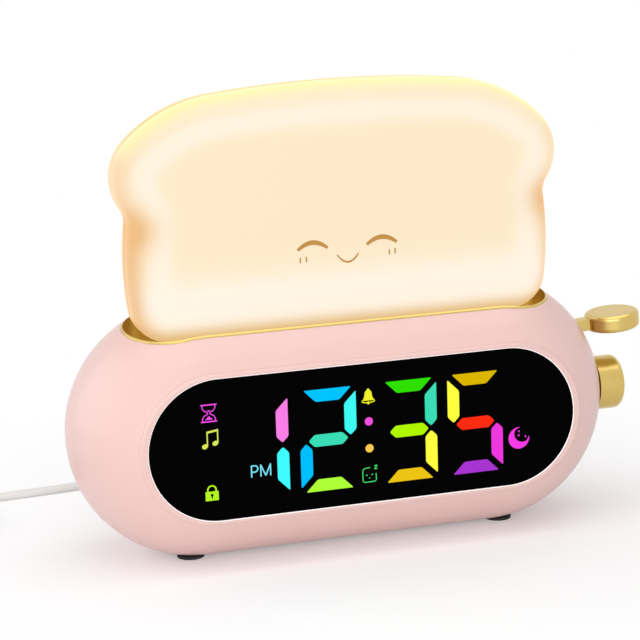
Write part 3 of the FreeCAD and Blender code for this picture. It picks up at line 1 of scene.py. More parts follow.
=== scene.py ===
"""Looks of a pill-shaped alarm clock with a bread-slice night light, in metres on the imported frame."""
import math

import bmesh
import bpy
import numpy as np
from mathutils import Matrix, Vector


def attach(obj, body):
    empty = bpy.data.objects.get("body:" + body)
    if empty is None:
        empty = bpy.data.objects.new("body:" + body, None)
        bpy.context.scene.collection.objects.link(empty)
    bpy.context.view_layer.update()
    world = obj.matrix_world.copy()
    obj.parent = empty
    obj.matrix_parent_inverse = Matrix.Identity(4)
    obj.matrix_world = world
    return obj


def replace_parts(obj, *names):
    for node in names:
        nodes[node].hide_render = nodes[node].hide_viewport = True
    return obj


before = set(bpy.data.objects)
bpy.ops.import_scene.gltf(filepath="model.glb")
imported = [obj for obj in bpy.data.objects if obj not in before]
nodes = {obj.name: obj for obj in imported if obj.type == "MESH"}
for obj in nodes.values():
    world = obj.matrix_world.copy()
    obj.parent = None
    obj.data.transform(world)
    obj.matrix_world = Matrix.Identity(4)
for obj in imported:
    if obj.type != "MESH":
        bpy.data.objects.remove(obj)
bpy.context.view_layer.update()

MM = 0.001
# The window's centre on the front plane, in the row frame, in millimetres
DATUM = np.array([-8.75, -29.0, 42.6])


def place_mm(x, y, z):
    """Points given from the window's centre in millimetres, as an array of row-frame metres."""
    x, y, z = np.broadcast_arrays(*(np.asarray(v, float) for v in (x, y, z)))
    return (np.stack([x, y, z], -1) + DATUM) * MM


def linear(code):
    """A hex colour as linear red, green and blue."""
    parts = np.array([int(code[i : i + 2], 16) for i in (0, 2, 4)]) / 255
    return np.where(parts <= 0.04045, parts / 12.92, ((parts + 0.055) / 1.055) ** 2.4)


# Meshes


def make_piece(name, points, faces, body, material, smooth=True, colours=None):
    """A mesh object from an array of points and lists of corners, riding on a body."""
    mesh = bpy.data.meshes.new(name)
    mesh.from_pydata(np.asarray(points).reshape(-1, 3).tolist(), [], [list(map(int, f)) for f in faces])
    mesh.update()
    mesh.polygons.foreach_set("use_smooth", np.full(len(mesh.polygons), smooth))
    if colours is not None:
        layer = mesh.attributes.new("tint", "FLOAT_COLOR", "POINT")
        rgba = np.ones((len(mesh.vertices), 4), np.float32)
        rgba[:, :3] = np.asarray(colours).reshape(-1, 3)
        layer.data.foreach_set("color", rgba.ravel())
    mesh.materials.append(material)
    made = bpy.data.objects.new(name, mesh)
    bpy.context.scene.collection.objects.link(made)
    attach(made, body)
    return made


def grid_faces(rows, columns, wrap=True, flip=False, start=0):
    """Quads of a grid of points stored row by row, closed along the row when wrap is true."""
    r, c = np.meshgrid(np.arange(rows - 1), np.arange(columns if wrap else columns - 1), indexing="ij")
    n = (c + 1) % columns
    quads = np.stack([r * columns + c, r * columns + n, (r + 1) * columns + n, (r + 1) * columns + c], -1)
    quads = quads.reshape(-1, 4) + start
    return quads[:, ::-1] if flip else quads


def plates(outlines, depth, thickness):
    """Flat plates from 2-D outlines: front corners, the same set back by the thickness, faces and sides."""
    points, faces, sizes = [], [], []
    for outline in outlines:
        outline = np.asarray(outline, float)
        area = np.sum(outline[:, 0] * np.roll(outline[:, 1], -1) - np.roll(outline[:, 0], -1) * outline[:, 1])
        if area < 0:
            outline = outline[::-1]
        n, first = len(outline), sum(sizes)
        front = place_mm(outline[:, 0], depth, outline[:, 1])
        back = place_mm(outline[:, 0], depth + thickness, outline[:, 1])
        points += [front, back]
        faces.append(list(range(first, first + n)))
        faces.append(list(range(first + 2 * n - 1, first + n - 1, -1)))
        for i in range(n):
            k = (i + 1) % n
            faces.append([first + i, first + n + i, first + n + k, first + k])
        sizes.append(2 * n)
    return np.concatenate(points), faces, sizes


def ribbon(path, width):
    """The outline of a stroke along a 2-D path: each point moved to both sides by half the width there."""
    path = np.asarray(path, float)
    width = np.broadcast_to(np.asarray(width, float), (len(path),))
    along = np.gradient(path, axis=0)
    along /= np.linalg.norm(along, axis=1)[:, None] + 1e-12
    side = np.stack([-along[:, 1], along[:, 0]], -1) * width[:, None] / 2
    return np.concatenate([path + side, (path - side)[::-1]])


def arc_path(x, z, radius, start, end, count=24):
    """Points of a circular arc from one angle to another, in degrees."""
    a = np.radians(np.linspace(start, end, count))
    return np.stack([x + radius * np.cos(a), z + radius * np.sin(a)], -1)


def disc_outline(x, z, radius, count=28):
    """Points round a full circle."""
    return arc_path(x, z, radius, 0, 360, count + 1)[:-1]


def face_outwards(made):
    """Turns a closed piece's faces so that they all point out."""
    work = bmesh.new()
    work.from_mesh(made.data)
    bmesh.ops.recalc_face_normals(work, faces=work.faces)
    work.to_mesh(made.data)
    work.free()
    return made


# Shader groups shared by the materials

# How much the fine noise adds to a roughness, and how deep a bump is, in metres
ROUGHNESS_SPREAD = 0.08
BUMP_DEPTH = 0.00003


def make_group(name, inputs, outputs, build):
    """A shader group with named sockets; build gets the tree, its input node and its output node."""
    tree = bpy.data.node_groups.new(name, "ShaderNodeTree")
    for label, kind, value in inputs:
        socket = tree.interface.new_socket(name=label, in_out="INPUT", socket_type=kind)
        socket.default_value = value
    for label, kind in outputs:
        tree.interface.new_socket(name=label, in_out="OUTPUT", socket_type=kind)
    build(tree, tree.nodes.new("NodeGroupInput"), tree.nodes.new("NodeGroupOutput"))
    return tree


def node(tree, kind, **values):
    """A node with some of its properties or input sockets set."""
    made = tree.nodes.new(kind)
    for key, value in values.items():
        if hasattr(made, key):
            setattr(made, key, value)
        else:
            made.inputs[key.replace("_", " ")].default_value = value
    return made


def build_mottle(tree, given, result):
    """Broad noise in object space darkens and lightens a colour a little. Fine noise spreads the roughness
    and gives a height."""
    place = node(tree, "ShaderNodeTexCoord")
    broad = node(tree, "ShaderNodeTexNoise", Detail=2.0, Roughness=0.5)
    fine = node(tree, "ShaderNodeTexNoise", Detail=3.0, Roughness=0.6)
    for noise, scale in ((broad, "Broad Scale"), (fine, "Fine Scale")):
        tree.links.new(place.outputs["Object"], noise.inputs["Vector"])
        tree.links.new(given.outputs[scale], noise.inputs["Scale"])
    tone = node(tree, "ShaderNodeMath", operation="MULTIPLY_ADD")
    tree.links.new(broad.outputs["Fac"], tone.inputs[0])
    tree.links.new(given.outputs["Amount"], tone.inputs[1])
    tone.inputs[2].default_value = 1.0
    shift = node(tree, "ShaderNodeMath", operation="MULTIPLY_ADD")
    tree.links.new(given.outputs["Amount"], shift.inputs[0])
    shift.inputs[1].default_value = -0.5
    tree.links.new(tone.outputs[0], shift.inputs[2])
    colour = node(tree, "ShaderNodeVectorMath", operation="SCALE")
    tree.links.new(given.outputs["Colour"], colour.inputs[0])
    tree.links.new(shift.outputs[0], colour.inputs["Scale"])
    rough = node(tree, "ShaderNodeMath", operation="MULTIPLY_ADD")
    tree.links.new(fine.outputs["Fac"], rough.inputs[0])
    rough.inputs[1].default_value = ROUGHNESS_SPREAD
    tree.links.new(given.outputs["Roughness"], rough.inputs[2])
    tree.links.new(colour.outputs[0], result.inputs["Colour"])
    tree.links.new(rough.outputs[0], result.inputs["Roughness"])
    tree.links.new(fine.outputs["Fac"], result.inputs["Height"])


mottle = make_group(
    "moulded_variation",
    [
        ("Colour", "NodeSocketColor", (0.8, 0.8, 0.8, 1)),
        ("Broad Scale", "NodeSocketFloat", 20.0),
        ("Fine Scale", "NodeSocketFloat", 900.0),
        ("Amount", "NodeSocketFloat", 0.05),
        ("Roughness", "NodeSocketFloat", 0.3),
    ],
    [("Colour", "NodeSocketColor"), ("Roughness", "NodeSocketFloat"), ("Height", "NodeSocketFloat")],
    build_mottle,
)


def build_brushed(tree, given, result):
    """Noise stretched along one axis: fine parallel scratches."""
    place = node(tree, "ShaderNodeTexCoord")
    stretch = node(tree, "ShaderNodeMapping")
    tree.links.new(place.outputs["Object"], stretch.inputs["Vector"])
    tree.links.new(given.outputs["Stretch"], stretch.inputs["Scale"])
    lines = node(tree, "ShaderNodeTexNoise", Detail=4.0, Scale=1.0)
    tree.links.new(stretch.outputs[0], lines.inputs["Vector"])
    tree.links.new(lines.outputs["Fac"], result.inputs["Height"])


brushed = make_group(
    "fine_lines",
    [("Stretch", "NodeSocketVector", (200.0, 6000.0, 6000.0))],
    [("Height", "NodeSocketFloat")],
    build_brushed,
)


def material(
    name,
    colour,
    roughness=0.4,
    metallic=0.0,
    amount=0.05,
    broad=20.0,
    fine=900.0,
    bump=0.02,
    lines=None,
    **plain,
):
    """A surface whose colour, roughness and bump vary through the shared groups."""
    made = bpy.data.materials.new(name)
    made.use_nodes = True
    tree = made.node_tree
    shader = tree.nodes["Principled BSDF"]
    varied = node(tree, "ShaderNodeGroup", node_tree=mottle)
    varied.inputs["Colour"].default_value = (*linear(colour), 1)
    varied.inputs["Broad Scale"].default_value = broad
    varied.inputs["Fine Scale"].default_value = fine
    varied.inputs["Amount"].default_value = amount
    varied.inputs["Roughness"].default_value = roughness - ROUGHNESS_SPREAD / 2
    height = varied.outputs["Height"]
    if lines is not None:
        drawn = node(tree, "ShaderNodeGroup", node_tree=brushed)
        drawn.inputs["Stretch"].default_value = lines
        height = drawn.outputs["Height"]
    raised = node(tree, "ShaderNodeBump", Strength=bump, Distance=BUMP_DEPTH)
    tree.links.new(height, raised.inputs["Height"])
    tree.links.new(varied.outputs["Colour"], shader.inputs["Base Color"])
    tree.links.new(varied.outputs["Roughness"], shader.inputs["Roughness"])
    tree.links.new(raised.outputs[0], shader.inputs["Normal"])
    shader.inputs["Metallic"].default_value = metallic
    for key, value in plain.items():
        shader.inputs[key.replace("_", " ")].default_value = value
    return made


def lit_material(name, base, strength, amount=0.0, **plain):
    """A glowing surface that takes its colour from the piece's own tint attribute."""
    made = bpy.data.materials.new(name)
    made.use_nodes = True
    tree = made.node_tree
    shader = tree.nodes["Principled BSDF"]
    tint = node(tree, "ShaderNodeAttribute", attribute_name="tint")
    varied = node(tree, "ShaderNodeGroup", node_tree=mottle)
    varied.inputs["Broad Scale"].default_value = 14.0
    varied.inputs["Amount"].default_value = amount
    tree.links.new(tint.outputs["Color"], varied.inputs["Colour"])
    tree.links.new(varied.outputs["Colour"], shader.inputs["Emission Color"])
    shader.inputs["Emission Strength"].default_value = strength
    shader.inputs["Base Color"].default_value = (*base, 1)
    for key, value in plain.items():
        shader.inputs[key.replace("_", " ")].default_value = value
    return made


pink = material("pink_gloss", "EEC8C2", 0.42, amount=0.02, bump=0.01, Coat_Weight=0.3, Coat_Roughness=0.06)
gold = material(
    "satin_gold", "D2B76C", 0.3, metallic=1.0, amount=0.08, bump=0.05, lines=(3000.0, 900.0, 3000.0)
)
window = material("smoked_window", "020202", 0.16, amount=0.0, bump=0.0, Specular_IOR_Level=0.01)
digits_lit = lit_material("lit_segments", (0, 0, 0), 1.0, Specular_IOR_Level=0.0, Roughness=0.6)
slice_glow = lit_material("slice_glow", (0.12, 0.1, 0.07), 0.88, amount=0.02, Roughness=0.38, Specular_IOR_Level=0.3)
stroke = material("face_strokes", "C4924A", 0.6, amount=0.15, broad=200.0, Specular_IOR_Level=0.1)
# A pale bead whose small emission is painted light: it keeps the window's edge line bright where it lies in shade
bead = material(
    "pale_edge_painted_glow", "FFF7F5", 0.35, amount=0.02, bump=0.01, Emission_Color=(1.0, 0.95, 0.93, 1.0), Emission_Strength=0.25
)
rubber = material("black_rubber", "101011", 0.75, amount=0.2, fine=2500.0, bump=0.25)
black = material("black_moulding", "17171A", 0.5, amount=0.1, fine=1800.0, bump=0.1)
board = material("circuit_board", "1E6B38", 0.4, amount=0.15, broad=90.0, Coat_Weight=0.3)
white = material("white_moulding", "ECECEA", 0.45, amount=0.04, bump=0.05)
cable = material("white_cable", "E6E6E4", 0.5, amount=0.05, fine=3000.0, bump=0.12)
steel = material("plated_steel", "B9BABC", 0.3, metallic=1.0, amount=0.1, bump=0.06, lines=(6000.0, 6000.0, 300.0))
brass = material("nut_brass", "C2A25A", 0.3, metallic=1.0, amount=0.1, bump=0.05)
resin = material("clear_resin", "F5E9B0", 0.2, amount=0.05, Coat_Weight=0.5)
film = material("smoked_film", "101012", 0.6, amount=0.05)
grey_metal = material("speaker_metal", "26272A", 0.45, metallic=0.6, amount=0.1, bump=0.08)
pulp = material("paper_cone", "202022", 0.85, amount=0.3, fine=1600.0, bump=0.5)

NODE_FINISH = {
    "front_housing": pink,
    "rear_cover": pink,
    "battery_hatch": pink,
    "display_lens": window,
    "display_film": film,
    "display_reflector": white,
    "display_board": board,
    "display_leds": resin,
    "slot_liner": gold,
    "lamp_base": white,
    "lamp_board": board,
    "lamp_leds": resin,
    "lamp_screws": steel,
    "housing_screws": steel,
    "lever": gold,
    "lever_pivot_pin": steel,
    "lever_board": board,
    "lever_switch": black,
    "lever_switch_plunger": black,
    "encoder_case": steel,
    "encoder_rotor": black,
    "knob_shaft": steel,
    "encoder_nut": brass,
    "encoder_board": board,
    "knob": gold,
    "main_board": board,
    "button_switches": black,
    "speaker_frame": grey_metal,
    "speaker_magnet": grey_metal,
    "speaker_cone": pulp,
    "power_socket": black,
    "cell_holder": black,
    "coin_cell": steel,
    "feet": rubber,
    "cord_plug": white,
    "far_plug": white,
    "far_plug_shell": steel,
    "far_plug_tongue": white,
}
for number in range(1, 5):
    NODE_FINISH["button_%d" % number] = pink
    NODE_FINISH["button_plunger_%d" % number] = black
for name, finish in NODE_FINISH.items():
    nodes[name].data.materials.clear()
    nodes[name].data.materials.append(finish)

# Bread-slice lamp

CROWN_RADIUS, SHOULDER_RADIUS, LOBE_RADIUS, WAIST_RADIUS = 405.0, 48.0, 17.3, 7.0
SIDE_RADIUS, CORNER_RADIUS = 113.0, 12.0
LOBE_REACH, LOBE_LEVEL, SIDE_REACH, SIDE_LEVEL = 76.4, 86.5, 73.0, 57.5
LAMP_TOP, LAMP_BOTTOM, LAMP_FRONT, LAMP_BACK = 114.5, 32.5, 14.5, 35.5
LAMP_MIDDLE = (LAMP_FRONT + LAMP_BACK) / 2
EDGE_RADIUS = 8.0
# Each half starts half a seam from the middle, with a small bevel and a straight run
HALF_SEAM, SEAM_BEVEL, SEAM_RUN = 0.04, 0.25, 1.2
FACE_CENTRE, FACE_BORDER = (0.0, 73.0), 12.0
SLICE_COLUMNS, ARC_POINTS, BASE_POINTS = 720, 400, 200


def circle_meeting(a, ra, b, rb, pick):
    """Where two circles cross; pick gives the crossing that is wanted."""
    gap = b - a
    span = np.hypot(*gap)
    along = (ra**2 - rb**2 + span**2) / (2 * span)
    across = math.sqrt(max(ra**2 - along**2, 0))
    unit = gap / span
    side = np.array([-unit[1], unit[0]])
    return max((a + unit * along + side * across * s for s in (-1, 1)), key=pick)


def slice_outline(count):
    """The slice's outline and its outward normals: a crown, shoulder, lobe, waist, side and lower corner
    in tangent arcs on the right half, mirrored to the left, with points evenly spaced along it."""
    crown = np.array([0, LAMP_TOP - CROWN_RADIUS])
    lobe = np.array([LOBE_REACH - LOBE_RADIUS, LOBE_LEVEL])
    side = np.array([SIDE_REACH - SIDE_RADIUS, SIDE_LEVEL])
    inner_gaps = CROWN_RADIUS - SHOULDER_RADIUS, SHOULDER_RADIUS - LOBE_RADIUS
    shoulder = circle_meeting(crown, inner_gaps[0], lobe, inner_gaps[1], lambda p: -p[0])
    waist = circle_meeting(lobe, LOBE_RADIUS + WAIST_RADIUS, side, SIDE_RADIUS + WAIST_RADIUS, lambda p: p[0])
    corner_z = LAMP_BOTTOM + CORNER_RADIUS
    corner_x = side[0] + math.sqrt((SIDE_RADIUS - CORNER_RADIUS) ** 2 - (corner_z - side[1]) ** 2)
    corner = np.array([corner_x, corner_z])

    def heading(a, b):
        return math.atan2(b[1] - a[1], b[0] - a[0])

    past_crown, past_shoulder, past_lobe = heading(crown, shoulder), heading(shoulder, lobe), heading(lobe, waist)
    past_waist, past_side = heading(side, waist), heading(side, corner)
    arcs = [
        (crown, CROWN_RADIUS, math.pi / 2, past_crown, 1),
        (shoulder, SHOULDER_RADIUS, past_crown, past_shoulder, 1),
        (lobe, LOBE_RADIUS, past_shoulder, past_lobe, 1),
        (waist, WAIST_RADIUS, past_lobe + math.pi, past_waist + math.pi, -1),
        (side, SIDE_RADIUS, past_waist, past_side, 1),
        (corner, CORNER_RADIUS, past_side, -math.pi / 2, 1),
    ]
    points, normals = [], []
    for centre, radius, start, end, sign in arcs:
        a = np.linspace(start, end, ARC_POINTS)
        ring = np.stack([np.cos(a), np.sin(a)], -1)
        points.append(centre + ring * radius)
        normals.append(ring * sign)
    points.append(np.linspace([corner_x, LAMP_BOTTOM], [0, LAMP_BOTTOM], BASE_POINTS))
    normals.append(np.tile([0.0, -1.0], (BASE_POINTS, 1)))
    points, normals = np.concatenate(points), np.concatenate(normals)
    points = np.concatenate([points, points[::-1] * [-1, 1]])
    normals = np.concatenate([normals, normals[::-1] * [-1, 1]])
    length = np.concatenate([[0], np.cumsum(np.hypot(*np.diff(points, axis=0).T))])
    at = np.linspace(0, length[-1], count, endpoint=False)
    pick = np.clip(np.searchsorted(length, at), 0, len(points) - 1)
    return points[pick], normals[pick]


def falloff(distance, width):
    """A weight that is 1 at no distance and dies away as a bell curve of the given width."""
    return np.exp(-((distance / width) ** 2))


def slice_tint(x, z, inset, upward, front):
    """Glow colours: cream in the middle, a paler band inside the edge and low down, amber at the sides' edge
    and waist, and yellow along the crown's edge, darker on the rear half, with painted shade at the foot where
    the slot hides the slice. inset is the distance from the outline."""
    cream, pale = linear("FAE6C4"), linear("FFF4E6")
    amber, yellow, base = linear("E6AC62"), linear("FFF5A6" if front else "E6CC7C"), linear("E3C284")
    colour = np.tile(cream, (*inset.shape, 1))

    def blend(colour, other, weight):
        weight = np.clip(weight, 0, 1)[..., None]
        return colour * (1 - weight) + other * weight

    low_band, waist_level, slot_shade_level = 47, 70.5, 38.5
    colour = blend(colour, pale, falloff(z - low_band, 7.5) * 0.95)
    colour = blend(colour, pale, falloff(inset - 9.5, 4.5) * 0.75)
    top = np.clip((upward - 0.35) / 0.5, 0, 1)
    waist = falloff(z - waist_level, 7.0) * np.clip((np.abs(x) - 45) / 10, 0, 1)
    side = 0.42 + 0.43 * np.clip((80 - z) / 12, 0, 1)
    colour = blend(colour, amber, falloff(inset, 3.6) * (1 - top) * side)
    colour = blend(colour, amber, waist * falloff(inset, 8.0) * 0.9)
    colour = blend(colour, yellow, falloff(inset, 2.2) * top * 0.9)
    # Painted shade: towards the foot, where the slot hides the slice, the glow turns to the darker gold base colour
    slot_shade = np.clip((slot_shade_level - z) / 5, 0, 1)
    return blend(colour, base, slot_shade * 0.7)


def slice_half(name, front):
    """Half a slice: the outline carried from the seam out to the face. The depth runs straight, then the inset
    follows a quarter circle of the edge radius, and last the outline shrinks towards the middle of the face."""
    columns = SLICE_COLUMNS
    outline, normal = slice_outline(columns)
    face = LAMP_FRONT if front else LAMP_BACK
    out = -1 if front else 1
    straight = np.array([[SEAM_BEVEL, 0.0], [0.0, SEAM_BEVEL], [0.0, SEAM_RUN]])
    a = np.radians(np.linspace(0, 90, 15))
    half = abs(face - LAMP_MIDDLE)
    turn = np.stack([EDGE_RADIUS * (1 - np.cos(a)), half - EDGE_RADIUS + EDGE_RADIUS * np.sin(a)], -1)
    more = np.stack([np.linspace(8.6, FACE_BORDER, 6), np.full(6, half)], -1)
    profile = np.concatenate([straight, turn, more])
    rows = outline[None] - normal[None] * profile[:, 0, None, None]
    depth = np.repeat((LAMP_MIDDLE + out * (profile[:, 1] + HALF_SEAM))[:, None], columns, 1)
    inset = np.repeat(profile[:, 0][:, None], columns, 1)
    centre = np.array(FACE_CENTRE)
    shrink = np.linspace(0.96, 0.03, 34)
    inner = centre + (rows[-1] - centre)[None] * shrink[:, None, None]
    rows = np.concatenate([rows, inner])
    depth = np.concatenate([depth, np.full((len(shrink), columns), face)])
    gap = np.linalg.norm(inner - rows[len(profile) - 1][None], axis=-1) + FACE_BORDER
    inset = np.concatenate([inset, gap])
    x, z = rows[..., 0], rows[..., 1]
    upward = np.repeat(normal[None, :, 1], len(rows), 0)
    tint = slice_tint(x, z, inset, upward, front)
    depth = np.clip(depth, LAMP_FRONT, LAMP_BACK)
    points = place_mm(x, depth, z)
    faces = grid_faces(len(rows), columns, flip=front).tolist()
    last = (len(rows) - 1) * columns
    cap = list(range(last, last + columns))
    faces.append(cap[::-1] if front else cap)
    return make_piece(name, points, faces, "housing", slice_glow, colours=tint)


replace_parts(slice_half("slice_front", True), "lamp_shell_front")
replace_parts(slice_half("slice_back", False), "lamp_shell_rear")

# Sleeping face drawn on the slice


def eyebrow_shape(x0, x1, ends, rise, width):
    """A stroke along a parabola that is widest in its middle."""
    t = np.linspace(0, 1, 25)
    path = np.stack([x0 + (x1 - x0) * t, ends + rise * 4 * t * (1 - t)], -1)
    return ribbon(path, width * (0.62 + 0.38 * np.sin(math.pi * t)))


FACE_PROUD, FACE_THICKNESS = 0.06, 0.1
face_outlines = [
    eyebrow_shape(-17.3, -7.0, 60.4, 2.2, 1.6),
    eyebrow_shape(6.6, 17.1, 60.3, 2.2, 1.6),
    eyebrow_shape(-3.8, 3.7, 57.8, -2.7, 0.68),
]
for x, top in ((-16.5, 57.9), (-14.4, 58.1), (14.4, 58.1), (16.4, 58.3)):
    face_outlines.append(ribbon([[x, top], [x, top - 0.9], [x, top - 1.8]], 0.5))
points, faces, _ = plates(face_outlines, LAMP_FRONT - FACE_PROUD, FACE_THICKNESS)
make_piece("sleeping_face", points, faces, "housing", stroke, smooth=False)

# Digits and signs, on the smoked window's face

DIGIT_WIDTH, DIGIT_HEIGHT, STROKE, CORNER = 19.5, 34.5, 4.1, 1.6
ROW, TIP_GAP, BAR_INSET, CORNER_CUT = -0.55, 0.75, 2.9, 0.38
RIGHT_EDGES = {"fourth": 48.1, "third": 24.7, "second": -3.4, "first": -26.8}


def segment(name, right):
    """One segment's outline: mitred bars at top and bottom, uprights with a pointed tip, a hexagon across."""
    left, low = right - DIGIT_WIDTH, ROW - DIGIT_HEIGHT / 2
    high, t, e, half = low + DIGIT_HEIGHT, STROKE, CORNER, STROKE / 2
    up, down = ROW + TIP_GAP, ROW - TIP_GAP
    a, b = left + BAR_INSET, right - BAR_INSET

    def upright(outer, inner, far, tip, out):
        shoulder = tip + half * out
        mid = (outer + inner) / 2
        return [
            (outer, far - e * out),
            (outer, shoulder),
            (mid, tip),
            (inner, shoulder),
            (inner, far - (e + t) * out),
        ]

    return {
        "a": [(left + e, high), (right - e, high), (right - e - t, high - t), (left + e + t, high - t)],
        "b": upright(right, right - t, high, up, 1),
        "c": upright(right, right - t, low, down, -1),
        "d": [(left + e, low), (right - e, low), (right - e - t, low + t), (left + e + t, low + t)],
        "e": upright(left, left + t, low, down, -1),
        "f": upright(left, left + t, high, up, 1),
        "g": [
            (a, ROW),
            (a + half, ROW + half),
            (b - half, ROW + half),
            (b, ROW),
            (b - half, ROW - half),
            (a + half, ROW - half),
        ],
    }[name]


def blunted(outline, cut):
    """An outline whose every corner is replaced by two points, a short way along each edge from it."""
    corners = np.asarray(outline, float)
    ahead, behind = np.roll(corners, -1, 0) - corners, np.roll(corners, 1, 0) - corners
    ahead *= cut / np.linalg.norm(ahead, axis=1)[:, None]
    behind *= cut / np.linalg.norm(behind, axis=1)[:, None]
    return np.stack([corners + behind, corners + ahead], 1).reshape(-1, 2)


SHOWN = [
    ("first", "b", "FA7FE6"),
    ("first", "c", "3FFBFF"),
    ("second", "a", "00C3FF"),
    ("second", "b", "3FF9F5"),
    ("second", "g", "3BDDB6"),
    ("second", "e", "00BFFF"),
    ("second", "d", "AFFF37"),
    ("third", "a", "2FDF00"),
    ("third", "b", "3BDDB6"),
    ("third", "g", "AFF700"),
    ("third", "c", "FFFF40"),
    ("third", "d", "EDC414"),
    ("fourth", "a", "DAB600"),
    ("fourth", "f", "FFFF40"),
    ("fourth", "g", "FF2B12"),
    ("fourth", "c", "EE39DF"),
    ("fourth", "d", "A735D0"),
]
signs = [(blunted(segment(part, RIGHT_EDGES[place]), CORNER_CUT), colour) for place, part, colour in SHOWN]
COLON_X, COLON_RADIUS = 0.9, 1.4
signs.append((disc_outline(COLON_X, 4.05, COLON_RADIUS), "F54FE1"))
signs.append((disc_outline(COLON_X, -5.15, COLON_RADIUS), "FFCB4E"))


def stroke_sign(path, width, colour):
    """Adds a stroke of one colour along a path to the signs."""
    signs.append((ribbon(path, width), colour))


HOURGLASS, NOTE, PADLOCK, KEYHOLE = "FA50F0", "D8E858", "B4F523", "000000"
BELL, NAP, MOON, AFTERNOON = "F0F028", "46E66E", "F53CE6", "7DEBFF"
LEFT_SIGNS_X = -53.3

# Hourglass
for z in (15.55, 9.95):
    stroke_sign([[-56.0, z], [-50.6, z]], 0.4, HOURGLASS)
for side in (-1, 1):
    x = LEFT_SIGNS_X + side * np.array([2.15, 2.15, 1.7, 0.35, 0.35, 1.7, 2.15, 2.15])
    stroke_sign(np.stack([x, [15.5, 14.6, 13.7, 12.95, 12.55, 11.8, 10.9, 10.0]], -1), 0.3, HOURGLASS)
signs.append(([(-54.6, 10.6), (-52.0, 10.6), (LEFT_SIGNS_X, 11.8)], HOURGLASS))
signs.append(([(-53.9, 13.7), (-52.7, 13.7), (LEFT_SIGNS_X, 13.2)], HOURGLASS))
# Note
for x, z in ((-55.0, 1.75), (-51.5, 2.55)):
    t = np.linspace(0, 2 * math.pi, 25)[:-1]
    head = [x + 0.98 * np.cos(t) - 0.15 * np.sin(t), z + 0.8 * np.sin(t) + 0.25 * np.cos(t)]
    signs.append((np.stack(head, -1), NOTE))
stroke_sign([[-54.15, 1.9], [-54.15, 6.6]], 0.42, NOTE)
stroke_sign([[-50.65, 2.7], [-50.65, 7.1]], 0.42, NOTE)
stroke_sign([[-54.35, 6.35], [-50.45, 6.9]], 0.7, NOTE)
# Padlock
lock = [(-55.5, -16.6), (-51.1, -16.6), (-51.1, -13.5), (-55.5, -13.5)]
signs.append((lock, PADLOCK))
shackle = np.concatenate([[[-54.7, -13.6]], arc_path(LEFT_SIGNS_X, -13.0, 1.4, 180, 0), [[-51.9, -13.6]]])
stroke_sign(shackle, 0.5, PADLOCK)
signs.append((disc_outline(LEFT_SIGNS_X, -14.75, 0.48, 16), KEYHOLE))
stroke_sign([[LEFT_SIGNS_X, -14.9], [LEFT_SIGNS_X, -15.9]], 0.42, KEYHOLE)
# Bell
bell_side = np.array([[0.0, 15.0], [0.55, 14.75], [1.15, 14.0], [1.35, 12.6], [1.75, 11.6], [2.35, 11.15]])
bell = np.concatenate([bell_side, (bell_side * [-1, 1])[::-1]]) + [COLON_X, 0]
signs.append((bell, BELL))
stroke_sign(arc_path(COLON_X, 16.0, 5.6, 246, 294, 12), 0.35, BELL)
signs.append((disc_outline(COLON_X, 10.35, 0.5, 16), BELL))
signs.append((disc_outline(COLON_X, 14.95, 0.32, 16), BELL))
# Nap sign: a rounded square with short strokes, and a small zigzag beside it
nap = [
    [[-1.7, -12.9], [-1.65, -16.2], [-1.1, -16.7], [2.6, -16.6], [3.0, -16.1], [2.95, -13.9]],
    [[-1.7, -13.0], [-1.5, -12.2], [-0.9, -11.9], [0.9, -11.75]],
    [[-0.6, -14.3], [0.0, -14.3]],
    [[1.3, -14.2], [1.9, -14.2]],
    [[0.45, -15.3], [0.85, -15.3]],
    [[2.4, -11.3], [3.4, -11.2]],
    [[3.3, -11.3], [2.5, -12.3]],
    [[2.4, -12.4], [3.4, -12.3]],
]
for path in nap:
    stroke_sign(path, 0.3, NAP)
# Moon with three sparks
outer = arc_path(53.9, -7.6, 3.75, 84, 366, 40)
inner = arc_path(55.25, -6.1, 3.0, 304, 146, 30)[1:-1]
signs.append((np.concatenate([outer, inner]), MOON))
for x, z, r in ((53.95, -5.3, 0.36), (53.8, -6.7, 0.42), (56.3, -7.3, 0.38)):
    signs.append(([(x, z + r), (x - r, z), (x, z - r), (x + r, z)], MOON))

# Afternoon mark, in thin straight strokes and one half circle
bowl = np.concatenate([[[-39.8, -6.55]], arc_path(-38.65, -7.6, 1.05, 90, -90, 14), [[-39.8, -8.65]]])
stroke_sign(bowl, 0.42, AFTERNOON)
for path in (
    [[-39.75, -10.4], [-39.75, -6.35]],
    [[-36.6, -10.4], [-36.6, -6.35]],
    [[-36.6, -6.5], [-34.95, -10.2]],
    [[-34.95, -10.2], [-33.3, -6.5]],
    [[-33.3, -6.35], [-33.3, -10.4]],
):
    stroke_sign(path, 0.42, AFTERNOON)

WINDOW_FACE, SIGN_PROUD, SIGN_THICKNESS = 0.2, 0.03, 0.02
points, faces, sizes = plates([outline for outline, _ in signs], WINDOW_FACE - SIGN_PROUD, SIGN_THICKNESS)
# The keyhole stands in front of the padlock
dark = np.concatenate([np.full(size, colour == KEYHOLE) for size, (_, colour) in zip(sizes, signs)])
points[dark, 1] -= SIGN_THICKNESS * MM
tints = np.concatenate([np.tile(linear(colour), (size, 1)) for size, (_, colour) in zip(sizes, signs)])
make_piece("lit_signs", points, faces, "housing", digits_lit, smooth=False, colours=tints)

# Pale bead between the window and its raised lip, with a little painted glow for the bright line of light along the
# window's edge


